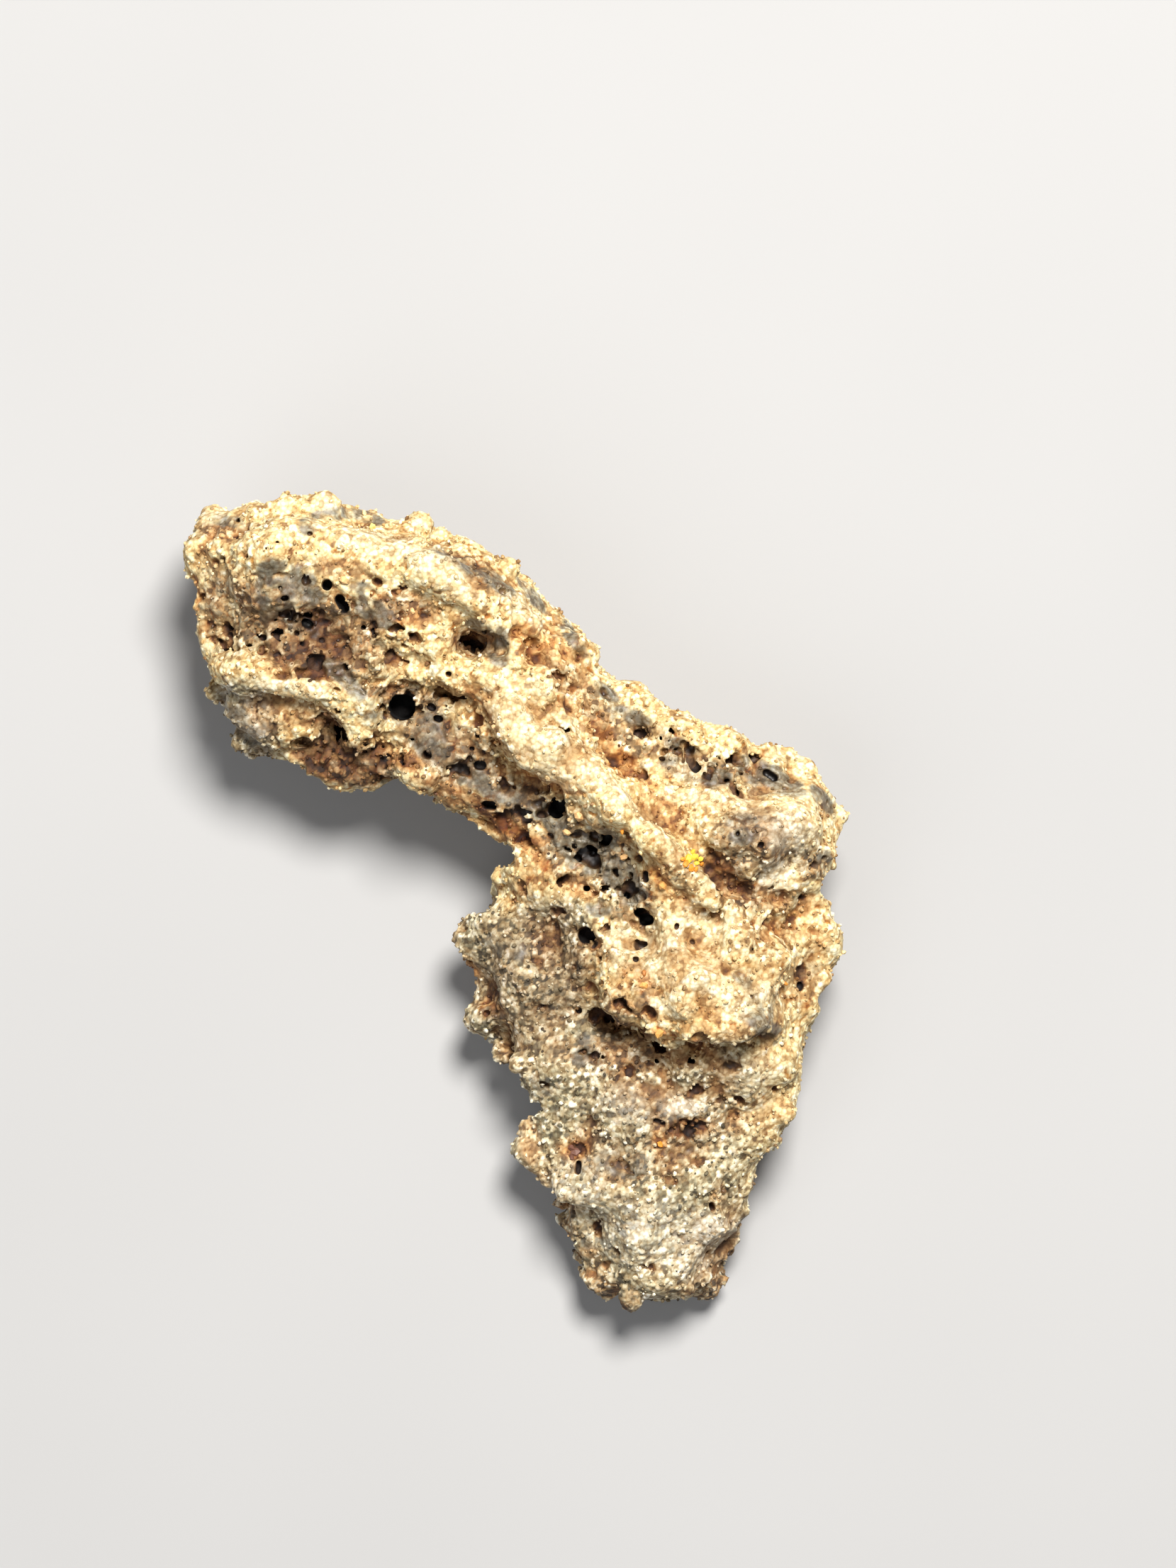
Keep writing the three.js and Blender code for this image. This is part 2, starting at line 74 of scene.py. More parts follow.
# Gas bubbles that broke through the skin, with clean edges: x, y, half length, half width, depth, and
# the turn in degrees where there is one.
BUBBLES = [
    # the pitted face of the arm
    (-5.66, 9.92, 0.72, 0.68, 2.2), (-9.36, 16.05, 0.3, 0.26, 1, 60), (-8.62, 15.12, 0.5, 0.28, 1.2, -60),
    (-10.35, 14.08, 0.34, 0.22, 1, -30), (-13.3, 12.95, 0.22, 0.16, 0.8), (-12.62, 13.42, 0.22, 0.17, 0.5),
    (-7.55, 13.95, 0.16, 0.13, 0.5, 80), (-5.57, 13.77, 0.2, 0.15, 0.5, -50),
    (-5.2, 13.58, 0.13, 0.11, 0.4), (-11.48, 15.38, 0.22, 0.16, 0.5), (-11.7, 15.88, 0.12, 0.11, 0.4),
    (-10.2, 18.6, 0.16, 0.12, 0.4), (-13.7, 18.95, 0.34, 0.16, 0.4, -15), (-3.25, 11.55, 0.17, 0.16, 0.5),
    (-0.8, 10.85, 0.16, 0.13, 0.3), (-8.85, 9.75, 0.2, 0.16, 0.5, -30),
    # below the main crest
    (-4.15, 9.9, 0.26, 0.2, 0.7, -30), (-3.8, 9.33, 0.26, 0.18, 0.6, -20), (-1.76, 8.5, 0.2, 0.13, 0.6),
    (-1.2, 8.22, 0.2, 0.15, 0.5, 30), (-2.1, 7.8, 0.15, 0.14, 0.5), (-1.7, 6.95, 0.34, 0.26, 0.8),
    (-0.7, 7.3, 0.12, 0.11, 0.4), (-1.25, 4.92, 0.44, 0.26, 1, 10),
    # the glassy web at the elbow
    (2.25, 4.85, 0.58, 0.42, 1.4, 80), (1.5, 5.25, 0.2, 0.14, 0.5), (4.7, 3.3, 0.46, 0.28, 1.1, 75),
    (3.75, 2.4, 0.85, 0.46, 0.42, -35), (4.05, 2.72, 0.42, 0.24, 1.3, -30),
    (3.5, 3.45, 0.45, 0.3, 0.25, -20), (5.95, 0.78, 0.52, 0.46, 0.45, 80),
    (5.78, 0.38, 0.19, 0.17, 1.1, 60), (6.65, 1.35, 0.32, 0.22, 0.7, 85), (6.3, 2.25, 0.28, 0.2, 0.5, 30),
    (5.18, 1.5, 0.24, 0.14, 0.5, -70), (3.72, 0.75, 0.19, 0.16, 0.6), (4.65, 0.72, 0.26, 0.2, 0.5),
    (6.5, -0.5, 0.42, 0.34, 1.4, -40), (6.75, -0.85, 0.38, 0.28, 1.2, 10), (3.75, -1.62, 0.5, 0.44, 0.9),
    (3.95, -2.05, 0.22, 0.2, 1), (6.2, -2.77, 0.18, 0.15, 0.6),
    # the outer rim and the right-hand boss
    (9.2, 6.9, 0.38, 0.28, 0.7, -50), (13.05, 6.5, 0.44, 0.22, 0.7, -35), (14.05, 6.2, 0.2, 0.13, 0.4),
    (13.75, 5.9, 0.16, 0.12, 0.4), (12.45, 2.9, 0.24, 0.17, 0.6, 70), (11.3, 3.55, 0.15, 0.11, 0.5, 80),
    # the right flank, the wing and the blade
    (14.6, -4.25, 0.26, 0.22, 0.8, 80), (14.4, -4.85, 0.15, 0.11, 0.4, 60), (10.15, -2.6, 0.14, 0.12, 0.3),
    (8.25, -1.15, 0.2, 0.13, 0.5, 70), (3.3, -5.5, 0.2, 0.18, 0.5, 80), (3.25, -13.5, 0.38, 0.18, 0.7, 85),
    (10.1, -15.5, 0.3, 0.17, 0.5, -60), (7.4, -11.15, 0.34, 0.14, 0.5, -20),
]

# Ragged pits where the crust broke away, lined with grains: the same numbers.
PITS = [
    # under the hood, and the crumbled orange bands beside it
    (-2.1, 13, 0.66, 0.42, 1.3), (-1, 13, 0.55, 0.18, 0.6), (-2.3, 13.7, 0.8, 0.38, 0.5),
    (-3.4, 13.25, 0.5, 0.28, 0.5, 10), (-5.9, 15.6, 0.28, 0.2, 0.3), (-5.1, 15.1, 0.32, 0.2, 0.3, -20),
    (-4.5, 14.6, 0.32, 0.2, 0.3), (-5.6, 14.5, 0.26, 0.18, 0.3), (-3.7, 14.75, 0.28, 0.22, 0.4),
    (-13.4, 17.55, 0.44, 0.34, 0.6, 20), (-10.4, 16.35, 0.36, 0.26, 0.4), (-9.7, 16.88, 0.36, 0.2, 0.3),
    (-12.4, 17.85, 0.22, 0.16, 0.3), (-9.4, 19.3, 0.26, 0.2, 0.3), (-6.8, 16.2, 0.22, 0.2, 0.4),
    (-7.1, 15.5, 0.26, 0.2, 0.2), (-13.4, 15.3, 0.32, 0.22, 0.4), (-14.6, 15.2, 0.22, 0.16, 0.3),
    (-14.1, 14.35, 0.26, 0.2, 0.3), (-6.15, 12.65, 0.26, 0.16, 0.4, 80), (-9.3, 13.2, 0.42, 0.16, 0.4, -20),
    (-14.8, 18.7, 0.5, 0.25, 0.3, 10), (-12.8, 16.4, 0.3, 0.2, 0.3), (-2.65, 10.5, 0.52, 0.34, 0.9, -30),
    (-1.65, 9.5, 0.32, 0.22, 0.5, -60), (-1.5, 10.5, 0.36, 0.2, 0.3), (-9.2, 8.55, 0.7, 0.5, 1.7, 75),
    (-8, 8, 0.36, 0.3, 0.6), (-9.4, 9.4, 0.6, 0.3, 0.5), (-11.3, 11.4, 0.6, 0.22, 0.35, 10),
    (-8, 10.9, 1, 0.22, 0.5, -45), (-5, 10.6, 0.9, 0.2, 0.4, -10),
    # the groove between the crests
    (0.9, 12.8, 0.55, 0.38, 0.5), (1.3, 11.55, 0.26, 0.2, 0.3), (2.4, 11.2, 0.6, 0.36, 0.4, -30),
    (3.1, 9.7, 0.46, 0.32, 0.5, -20), (4.05, 8.75, 0.36, 0.28, 0.5, -40), (5.3, 7.3, 0.52, 0.38, 0.6, -10),
    (7.3, 5.6, 0.42, 0.22, 0.3, -20), (0.2, 13.8, 0.4, 0.25, 0.3), (6.4, 6.5, 0.5, 0.25, 0.3, -45),
    # the outer rim
    (-0.5, 15.75, 0.34, 0.25, 0.6), (-1.35, 16.25, 0.22, 0.16, 0.4), (4.7, 10.6, 0.46, 0.22, 0.4, -35),
    (5.6, 9.45, 0.56, 0.28, 0.5, -15), (6.25, 8.5, 0.32, 0.26, 0.6, -20), (7.7, 8.7, 0.32, 0.14, 0.3, 10),
    (8.6, 7.75, 0.46, 0.26, 0.6, 10), (9.9, 6.9, 0.4, 0.22, 0.5, -25), (10.6, 6.35, 0.26, 0.3, 0.5),
    (9.9, 5.98, 0.56, 0.14, 0.4, 8), (12.1, 5.7, 0.32, 0.14, 0.3), (3.4, 12.5, 0.3, 0.15, 0.3, 10),
    # the elbow and the shadowed hollow beside the boss
    (4, 4.35, 0.32, 0.26, 0.6, 45), (4.15, -0.15, 0.5, 0.3, 0.7, -35), (5.75, 3.3, 0.22, 0.26, 0.5),
    (2.3, -0.45, 0.52, 0.32, 0.5, -10), (0.3, 0.75, 0.52, 0.28, 0.5, -30), (11.3, 0.6, 1.9, 0.5, 0.7, -20),
    (15, 1.8, 0.56, 0.3, 0.5, 10), (10, 2.3, 0.4, 0.5, 0.5), (15.7, 2.3, 0.25, 0.22, 0.4),
    # the undercut of the ledge
    (5.5, -5.2, 0.56, 0.34, 0.8, 20), (6.75, -5.6, 0.36, 0.3, 0.9, -20), (6.2, -5.95, 0.36, 0.28, 1.4),
    (5.3, -6.3, 1.3, 0.45, 1.2, -15), (8.6, -7.9, 0.72, 0.38, 1, -45), (9.5, -6.9, 0.42, 0.22, 0.6, -20),
    (12.6, -6.7, 0.72, 0.24, 0.6, -10), (10.75, -3.3, 0.36, 0.14, 0.3, -65), (11.4, -3.5, 0.2, 0.15, 0.2),
    # the right flank, the wing and the blade
    (14.7, -3.6, 0.42, 0.3, 0.4, 80), (15.2, -1.5, 0.32, 0.16, 0.3, -20), (8.9, -11.4, 1.1, 0.5, 0.8),
    (4.1, -7.8, 0.8, 0.42, 0.5, -20), (5.4, -7.6, 0.42, 0.12, 0.4, -50), (5.9, -8.4, 0.32, 0.2, 0.4, -60),
    (1.6, -9.3, 0.42, 0.22, 0.4, -30), (5.7, -13.3, 0.72, 0.42, 0.3), (6.4, -13.85, 0.62, 0.22, 0.3, -20),
    (3, -12.6, 0.5, 0.42, 0.4), (4.8, -17.4, 0.72, 0.26, 0.4), (4, -19, 0.42, 0.18, 0.4, 20),
    (3.8, -17.9, 0.36, 0.22, 0.3), (8, -14.2, 0.32, 0.22, 0.4), (10.4, -14.6, 0.32, 0.22, 0.3),
    (-1.2, -5.5, 0.5, 0.3, 0.3), (1.4, -5.3, 0.42, 0.2, 0.3), (11.2, -8.3, 0.52, 0.22, 0.4, -30),
    (13.4, -9.6, 0.32, 0.16, 0.3, -50), (7, -9.5, 0.8, 0.5, 0.3), (1, -3, 0.6, 0.25, 0.3, 20),
    (-0.5, -3.6, 0.3, 0.2, 0.3), (3.2, -3.4, 0.7, 0.25, 0.3, -10), (9.5, -13.3, 0.8, 0.3, 0.3, 20),
    (11.5, -10.2, 0.6, 0.3, 0.3), (6.8, -18.6, 0.5, 0.2, 0.3), (-13.5, 13, 0.58, 0.24, 0.8, 10),
    (-10.6, 12.95, 0.42, 0.26, 0.8), (-9.98, 12.1, 0.42, 0.26, 0.9, 80), (-8.5, 12.75, 0.32, 0.28, 0.7),
    (-5.4, 7.2, 0.62, 0.34, 0.9, -20), (-7.05, 8.25, 0.44, 0.32, 0.8, 80),
    (-7.6, 13.4, 0.34, 0.22, 0.6, -20), (-11.6, 14.6, 0.26, 0.22, 0.5), (-9.3, 14.3, 0.3, 0.22, 0.5),
    (-12, 12.6, 0.34, 0.2, 0.5, 10), (-10.9, 11.9, 0.3, 0.2, 0.4), (-3, 7.4, 0.3, 0.22, 0.5),
    (-4.6, 8.4, 0.34, 0.24, 0.4), (-3.4, 6.6, 0.34, 0.22, 0.5, -30), (-0.5, 6.1, 0.4, 0.22, 0.5, -10),
    (0.6, 4.4, 0.5, 0.26, 0.8, -20), (-0.6, 4.3, 0.4, 0.24, 0.7, -30), (1.2, 3.9, 0.3, 0.2, 0.5),
    (2.6, 1.3, 0.34, 0.24, 0.4), (3, 0.3, 0.3, 0.2, 0.4), (7.4, 1.2, 0.4, 0.2, 0.4, -40),
]

# Small knobs of fused grains along the outline: x, y, radius.
NUBS = [
    (-15.3, 19.55, 0.78), (-13.2, 19.75, 0.45), (-11.6, 20.15, 0.6), (-10.7, 20.05, 0.45),
    (-9.4, 20.15, 0.62), (-4.7, 19.05, 0.6), (-3.8, 18.45, 0.5), (-2.6, 18.1, 0.45), (-16.2, 17.9, 0.5),
    (-15.2, 10.6, 0.52), (-13.8, 8.3, 0.58), (-13.2, 7.9, 0.58), (-0.15, 17.05, 0.5), (0.5, 16.2, 0.5),
    (2.9, 13.9, 0.35), (3.9, 12.65, 0.42), (6.5, 10.2, 0.5), (13.9, 7.4, 0.45), (14.7, 6.75, 0.6),
    (16.5, 4.4, 0.4), (16.35, 3.6, 0.35), (16, 2.5, 0.42), (16.05, -1.9, 0.5), (15.8, -3.8, 0.4),
    (14.9, -5.2, 0.35), (13.8, -10.7, 0.45), (-7.4, 6.35, 0.5), (-2.2, 4.8, 0.5), (-1.9, 4, 0.55),
    (-1.1, 3.7, 0.5), (-0.85, 1.3, 0.42), (-2.3, -1.6, 0.45), (-2.1, -3.5, 0.55), (-1.9, -5.8, 0.4),
    (-0.4, -7.7, 0.75), (0.15, -8.25, 0.55), (0.85, -9.6, 0.3), (0.55, -11.5, 0.4), (0.6, -12.5, 0.5),
    (1.1, -13.3, 0.55), (1.8, -14.2, 0.35), (2.45, -15.4, 0.58), (2.7, -16.3, 0.4), (3.4, -18.1, 0.35),
    (3.7, -19, 0.45), (5.85, -20.3, 0.78), (4.95, -20, 0.6), (9.5, -19.95, 0.5), (10.05, -19.65, 0.5),
    (10.95, -17.8, 0.55), (8.9, -19.8, 0.55), (9.8, -19.2, 0.5),
]

# Notches in the outline between them: x, y, radius.
NOTCHES = [
    (-5.9, 20.45, 1.15), (-7.6, 20.9, 0.9), (-12.4, 21.1, 0.9), (-13.9, 21.2, 0.95), (-4.3, 20.3, 0.7),
    (7.5, 10.65, 0.92), (8.8, 9.85, 0.95), (6.4, 11.45, 0.9), (12.3, 8.9, 1), (10.9, 9.3, 0.9),
    (13.3, 8.5, 0.65), (9.9, 9.6, 0.92), (5, 12.95, 0.5), (3.7, 14.1, 0.5), (-14.9, 9.3, 0.7),
    (-15.1, 8.2, 0.6), (-15.7, 11.9, 0.35), (-16.75, 15.2, 0.55), (-16.9, 15.8, 0.8), (-16.8, 14.4, 0.8),
    (-17.3, 17, 0.7), (-11.3, 6.5, 0.85), (-10.1, 5.9, 0.85), (-9.2, 5.4, 0.65), (-4.9, 5.35, 1),
    (-3.9, 4.6, 0.6), (-6.2, 5.6, 0.7), (-2.4, 3.6, 0.5), (-0.5, 2.35, 0.62), (-1.8, 0.3, 0.88),
    (-3.3, -2.8, 0.7), (-3.5, -0.9, 0.5), (-2.8, -4.9, 0.45), (-3, -6.3, 0.5), (1, -10.5, 0.5),
    (0.3, -10.3, 0.7), (2.75, -17.5, 0.5), (11.2, -19, 0.68), (12.65, -15.4, 0.95), (14.3, -12, 0.95),
    (16.1, 0.9, 0.65), (16.8, -0.45, 0.7), (17.2, -2.2, 0.45), (16, -5, 0.55), (15.1, -9.2, 0.65),
    (14.9, -10.4, 0.5), (15.3, -8, 0.5), (-17.4, 18.8, 0.7), (-0.6, -13.2, 0.6),
]

# Zones of the crust: x, y, half length, half width, strength, and the turn where there is one. Where
# zones of a table overlap, the strongest counts. First where the crust is pitted:
POROUS = [
    (-10.6, 14, 5.5, 2.8, 1, -20), (-3.4, 8.6, 3.4, 1.9, 1, -35), (2.7, 2.8, 4.6, 2.2, 1, -45),
    (2.4, 10.6, 4.6, 1.2, 0.9, -47), (5.6, 6.9, 2.6, 0.8, 0.6, -45), (9.9, 7.7, 5.6, 1.4, 0.8, -22),
    (-8.8, 7.7, 3.6, 1.3, 1, -15), (-1.6, 16.3, 3, 0.8, 0.5, -40), (6.7, -6.7, 2.6, 1, 0.8, -20),
    (12.1, 0.1, 3.4, 1.4, 0.6, -20), (5, -2.4, 2, 1.6, 0.5), (-14.2, 18.4, 1.8, 1, 0.6),
    (-14.3, 15.4, 1.5, 2.6, 0.7),
]
# Grey fused glass, smooth and with few grains:
GLASS = [
    (3.9, -7.8, 1, 0.6, 0.55), (5.6, -13.2, 1.6, 0.8, 0.5, -10), (11, -8.1, 0.7, 0.4, 0.5),
    (-0.4, -2.2, 1.2, 0.7, 0.45, -20), (2.2, -4.9, 1.2, 0.5, 0.5, -40), (-1.3, -5.7, 0.8, 0.5, 0.5),
    (1.4, -9.2, 0.8, 0.5, 0.5, -50), (6.2, -16.6, 1.4, 0.5, 0.4), (4.2, -17.4, 0.9, 0.4, 0.45),
    (3.2, -10.6, 1.2, 0.7, 0.4), (8.4, -12.6, 1, 0.6, 0.4), (-12.2, 15.9, 1.6, 0.75, 1.3, 85),
    (-11.4, 16.6, 1.5, 0.7, 1.2, -10), (-11, 14.3, 1.4, 0.5, 0.8, -35), (-6.9, 14.7, 1.3, 0.65, 1.1, -35),
    (-10.8, 15.5, 1.3, 0.7, 0.8), (-8.9, 11.8, 0.8, 0.5, 1, -30), (-8, 10.8, 1.3, 0.4, 0.8, -45),
    (-7.6, 15.9, 0.8, 0.4, 0.7), (-7, 9.2, 0.6, 0.6, 0.6), (-4.9, 9.3, 1.4, 0.7, 0.7, -10),
    (-3.9, 8, 1.6, 1, 0.6, -35), (-2.6, 6.7, 1.6, 0.8, 0.7, -35), (-0.7, 5.6, 1.6, 0.5, 0.9, -20),
    (0.9, 4.9, 1.4, 0.5, 1, -25), (2.4, 3.5, 1.3, 0.55, 1.2, -55), (3.7, 2.5, 1.4, 1, 1.2, -35),
    (5.4, 1.3, 1.5, 0.8, 1.1, -45), (4.6, 3.3, 0.8, 0.6, 1), (6, 0.5, 0.8, 0.6, 1.1),
    (3.2, 4, 0.9, 0.5, 0.7), (6.7, -1.6, 0.9, 0.4, 0.7, 80), (4.3, -0.2, 0.7, 0.5, 0.8),
    (-0.6, 12.8, 0.8, 0.8, 1), (-1.3, 13.9, 1.1, 0.35, 0.9, -15), (-14.6, 19.4, 1.1, 0.35, 0.9, -15),
    (-8.9, 19.7, 1.3, 0.35, 0.9, 5), (-7.4, 19.5, 0.9, 0.35, 0.9, -20), (-10.3, 19.1, 0.5, 0.6, 0.7),
    (-2.8, 17.2, 1.5, 0.4, 0.9, -25), (-0.9, 16.2, 1.1, 0.45, 1, -30), (0.9, 15.6, 1.2, 0.3, 0.7, -50),
    (2.9, 13.6, 1.3, 0.35, 0.9, -55), (4.7, 10.7, 0.8, 0.35, 0.9, -40), (5.9, 9.5, 1.1, 0.4, 0.9, -20),
    (8.6, 7.9, 1, 0.4, 0.8, -20), (8, 6.9, 0.9, 0.6, 0.5), (10.3, 6.3, 0.8, 0.45, 1, 15),
    (12.2, 6.8, 1.1, 0.6, 1.1, -20), (13.5, 6.2, 1.4, 0.6, 1.1, -30), (15.7, 5.2, 1, 0.35, 1, -50),
    (11.6, 3.8, 1, 0.8, 0.8, 10), (13.3, 3.2, 0.5, 0.8, 0.6), (15.7, 2.3, 0.4, 0.4, 1),
    (12.1, 5.9, 0.5, 0.3, 0.8), (-14.2, 10.2, 1.4, 0.7, 0.7, -60), (-13.2, 9, 1.4, 1, 0.55, -60),
    (12.3, -5.4, 1, 0.9, 0.6, -40), (12.9, -6.4, 0.7, 0.5, 1.1), (11.6, -3.9, 0.8, 0.3, 0.6, -40),
    (3.6, -6.6, 0.9, 0.5, 0.5, -60), (4.7, -9.6, 1, 0.8, 0.3),
]
# Tan and orange sand, mostly in hollows:
WARM = [
    (1.3, 12.9, 1.6, 1.1, 1, -40), (3.3, 10.1, 2.6, 0.8, 0.9, -50), (5.4, 7.2, 1.3, 0.6, 0.85, -45),
    (-5.4, 14.9, 1.6, 0.8, 1, -10), (7.2, 5.6, 1.2, 0.4, 0.7, -30), (-5, 14.8, 1.4, 0.7, 1, -10),
    (-2.6, 13.4, 1.4, 0.5, 0.9), (-14.9, 18.8, 0.9, 0.6, 0.7, -20), (-15.6, 15.6, 0.7, 2.2, 0.5),
    (-13.3, 15.5, 0.9, 0.6, 0.8, -30), (-8.6, 16.9, 1.2, 0.5, 0.7, -10), (-11, 11.8, 2, 0.6, 0.5, -10),
    (-8.2, 13.6, 1.4, 0.6, 0.5, -30), (-5.5, 10.7, 1.6, 0.3, 0.9, -8), (-2.4, 10.4, 1.2, 0.5, 0.8, -20),
    (-1.4, 8.9, 0.6, 1.2, 0.7, 20), (-10.2, 9.7, 1.6, 0.6, 0.7, -15), (-9.6, 7.6, 1.6, 0.7, 0.9, -10),
    (-7.2, 7.3, 1.2, 0.7, 0.7, -10), (-5.4, 7.2, 1, 0.5, 1, -15), (-3.4, 5.8, 1.2, 0.5, 1, -30),
    (0.2, 6.4, 1.6, 0.5, 0.8, -10), (2.2, 5.9, 1.2, 0.3, 0.8, -15), (-0.4, 3.9, 2, 0.5, 1, -40),
    (1.6, 2.4, 1.2, 0.5, 0.9, -50), (7.4, 1, 1, 0.6, 0.9, -50), (8.4, 0.2, 1.2, 0.4, 0.4, -40),
    (3.2, 0.9, 1.4, 0.5, 0.7, -25), (10.6, 1.8, 0.8, 0.7, 0.8), (12, 0.4, 2, 0.6, 0.9, -15),
    (15.2, -0.9, 0.7, 1.4, 0.6, 20), (12.8, -1.4, 2, 0.6, 0.4, -10), (6.6, -3.8, 0.4, 0.5, 0.7),
    (6.2, -5.3, 1.2, 0.4, 0.9, -10), (7.4, -6.6, 0.6, 0.3, 1, -50), (6.6, -7.8, 2.4, 0.8, 0.6, -10),
    (9.4, -7.7, 1.2, 0.7, 0.7, -20), (12.6, -10.5, 1.4, 0.8, 0.4), (8.9, -11.4, 1.3, 0.5, 0.8),
    (7.4, -12.2, 0.4, 0.8, 0.7), (3, -12.6, 0.8, 0.6, 0.5), (0.8, -12.2, 0.6, 1.2, 0.4, 10),
    (-1.2, -5.5, 0.7, 0.4, 0.6), (3.8, -17.9, 0.5, 0.3, 0.6), (3.9, -19, 0.5, 0.25, 0.8, 20),
    (10.4, -15, 0.4, 0.9, 0.5),
]
# Brown stain, and painted shadow and shade in deep hollows, under the ledge and below the boss:
BROWN_AND_SHADOW = [
    (5.6, -6.3, 1.8, 0.65, 1.2, -14), (6.4, -7.6, 2, 0.8, 0.4, -10), (8.3, -7.7, 0.8, 0.4, 0.8, -45),
    (-0.6, 4.1, 2.4, 0.45, 0.9, -38), (12.2, 0.5, 2.1, 0.5, 0.4, -10), (10.5, 1.5, 0.9, 0.7, 0.6, -20),
    (-9.3, 8.7, 0.9, 0.8, 0.9, 70), (-12.6, 7.7, 1.6, 0.3, 0.5), (0.4, 0.7, 0.8, 0.35, 0.6, -20),
    (-8.6, 7.2, 2.4, 1.2, 1.4, -10), (-3.6, 5.5, 2.2, 0.5, 0.7, -33), (-10.5, 13.3, 2.8, 1.6, 0.85, -20),
    (-3.5, 8, 2.6, 1.2, 0.5, -38), (-14.4, 14.6, 1.4, 2, 0.3), (-2.9, 10.3, 1.6, 0.35, 0.6),
    (-6, 10.7, 1.8, 0.25, 0.6), (2.3, -0.5, 0.7, 0.4, 0.6, -10), (8.9, -11.5, 1.2, 0.45, 0.6),
    (4.1, -7.8, 1, 0.5, 0.4, -20), (5.7, -13.4, 0.9, 0.5, 0.2, -10), (3.7, -1.7, 0.6, 0.5, 0.7),
    (-2.2, 13.2, 1.1, 0.6, 0.7), (-5.4, 7.1, 0.8, 0.4, 0.8, -20), (12.8, -6.9, 0.6, 0.3, 0.6),
    (9.3, -6.9, 0.4, 0.2, 0.6), (1, -3.4, 3.6, 3, 0.48), (6.6, -10.6, 2.6, 1.6, 0.3),
    (0.6, -6.4, 2.4, 1.2, 0.3, -30), (2.5, 0.9, 1.4, 0.9, 0.2), (9.5, 6.6, 1.6, 0.6, 0.35, -15),
    (-12, 15.6, 1.4, 0.8, 0.35), (-7, 14.6, 1.1, 0.7, 0.35, -35), (-13.2, 9.3, 1.4, 1.2, 0.35),
    (11.8, 3.5, 1.6, 1, 0.35),
]
# Grains of mixed colours:
MOTTLED = [
    (-10.6, 13.9, 4.4, 2.3, 0.9, -20), (-3.6, 8, 3.2, 1.7, 1.1, -38), (0.2, 5.2, 2.6, 1, 1.1, -20),
    (3.6, 3, 2.6, 1.9, 1, -45), (5.4, 0.8, 2, 1.4, 1, -40), (-8.4, 7.3, 2.6, 1.2, 1, -12),
    (-14.3, 14.8, 1.5, 2.6, 0.65), (3.4, 10.4, 2.6, 0.9, 0.6, -45), (6.4, 8.4, 2.4, 0.9, 0.9, -25),
    (10.6, 6.6, 3.6, 0.8, 0.9, -10), (-1.6, 13.2, 1.6, 0.9, 0.8, -10), (-5.4, 15, 1.6, 0.8, 0.7, -15),
    (-1.6, 16.6, 2.6, 0.6, 0.8, -32), (-8.8, 16.8, 2.2, 0.6, 0.6, -8), (-14.6, 19, 1.6, 0.8, 0.6, -10),
    (12, 3.2, 2.4, 1.6, 0.8), (12.4, 0.6, 2.6, 1, 0.8, -10), (12.4, -1.6, 3, 1.2, 0.4, -10),
    (9, 1.6, 1.2, 1, 0.5), (6.4, -2.2, 2.6, 1.2, 0.5), (-5.4, 10.4, 2.6, 0.5, 0.8, -8),
    (12.2, -5.2, 1.2, 1.2, 0.7), (14.8, -3.9, 0.9, 1.2, 0.5), (6, -5, 1.6, 0.8, 0.8),
    (9.2, -11, 2.2, 1.2, 0.6), (5.6, -13.2, 2, 1.2, 0.5), (5, -7.8, 2.6, 1.2, 0.6),
    (1.2, -3.4, 3.4, 3.2, 0.35), (-13.2, 9.6, 2, 1.8, 0.4), (-9.6, 9.6, 1.6, 0.8, 0.6),
    (15.2, 2, 0.9, 0.8, 0.8),
]
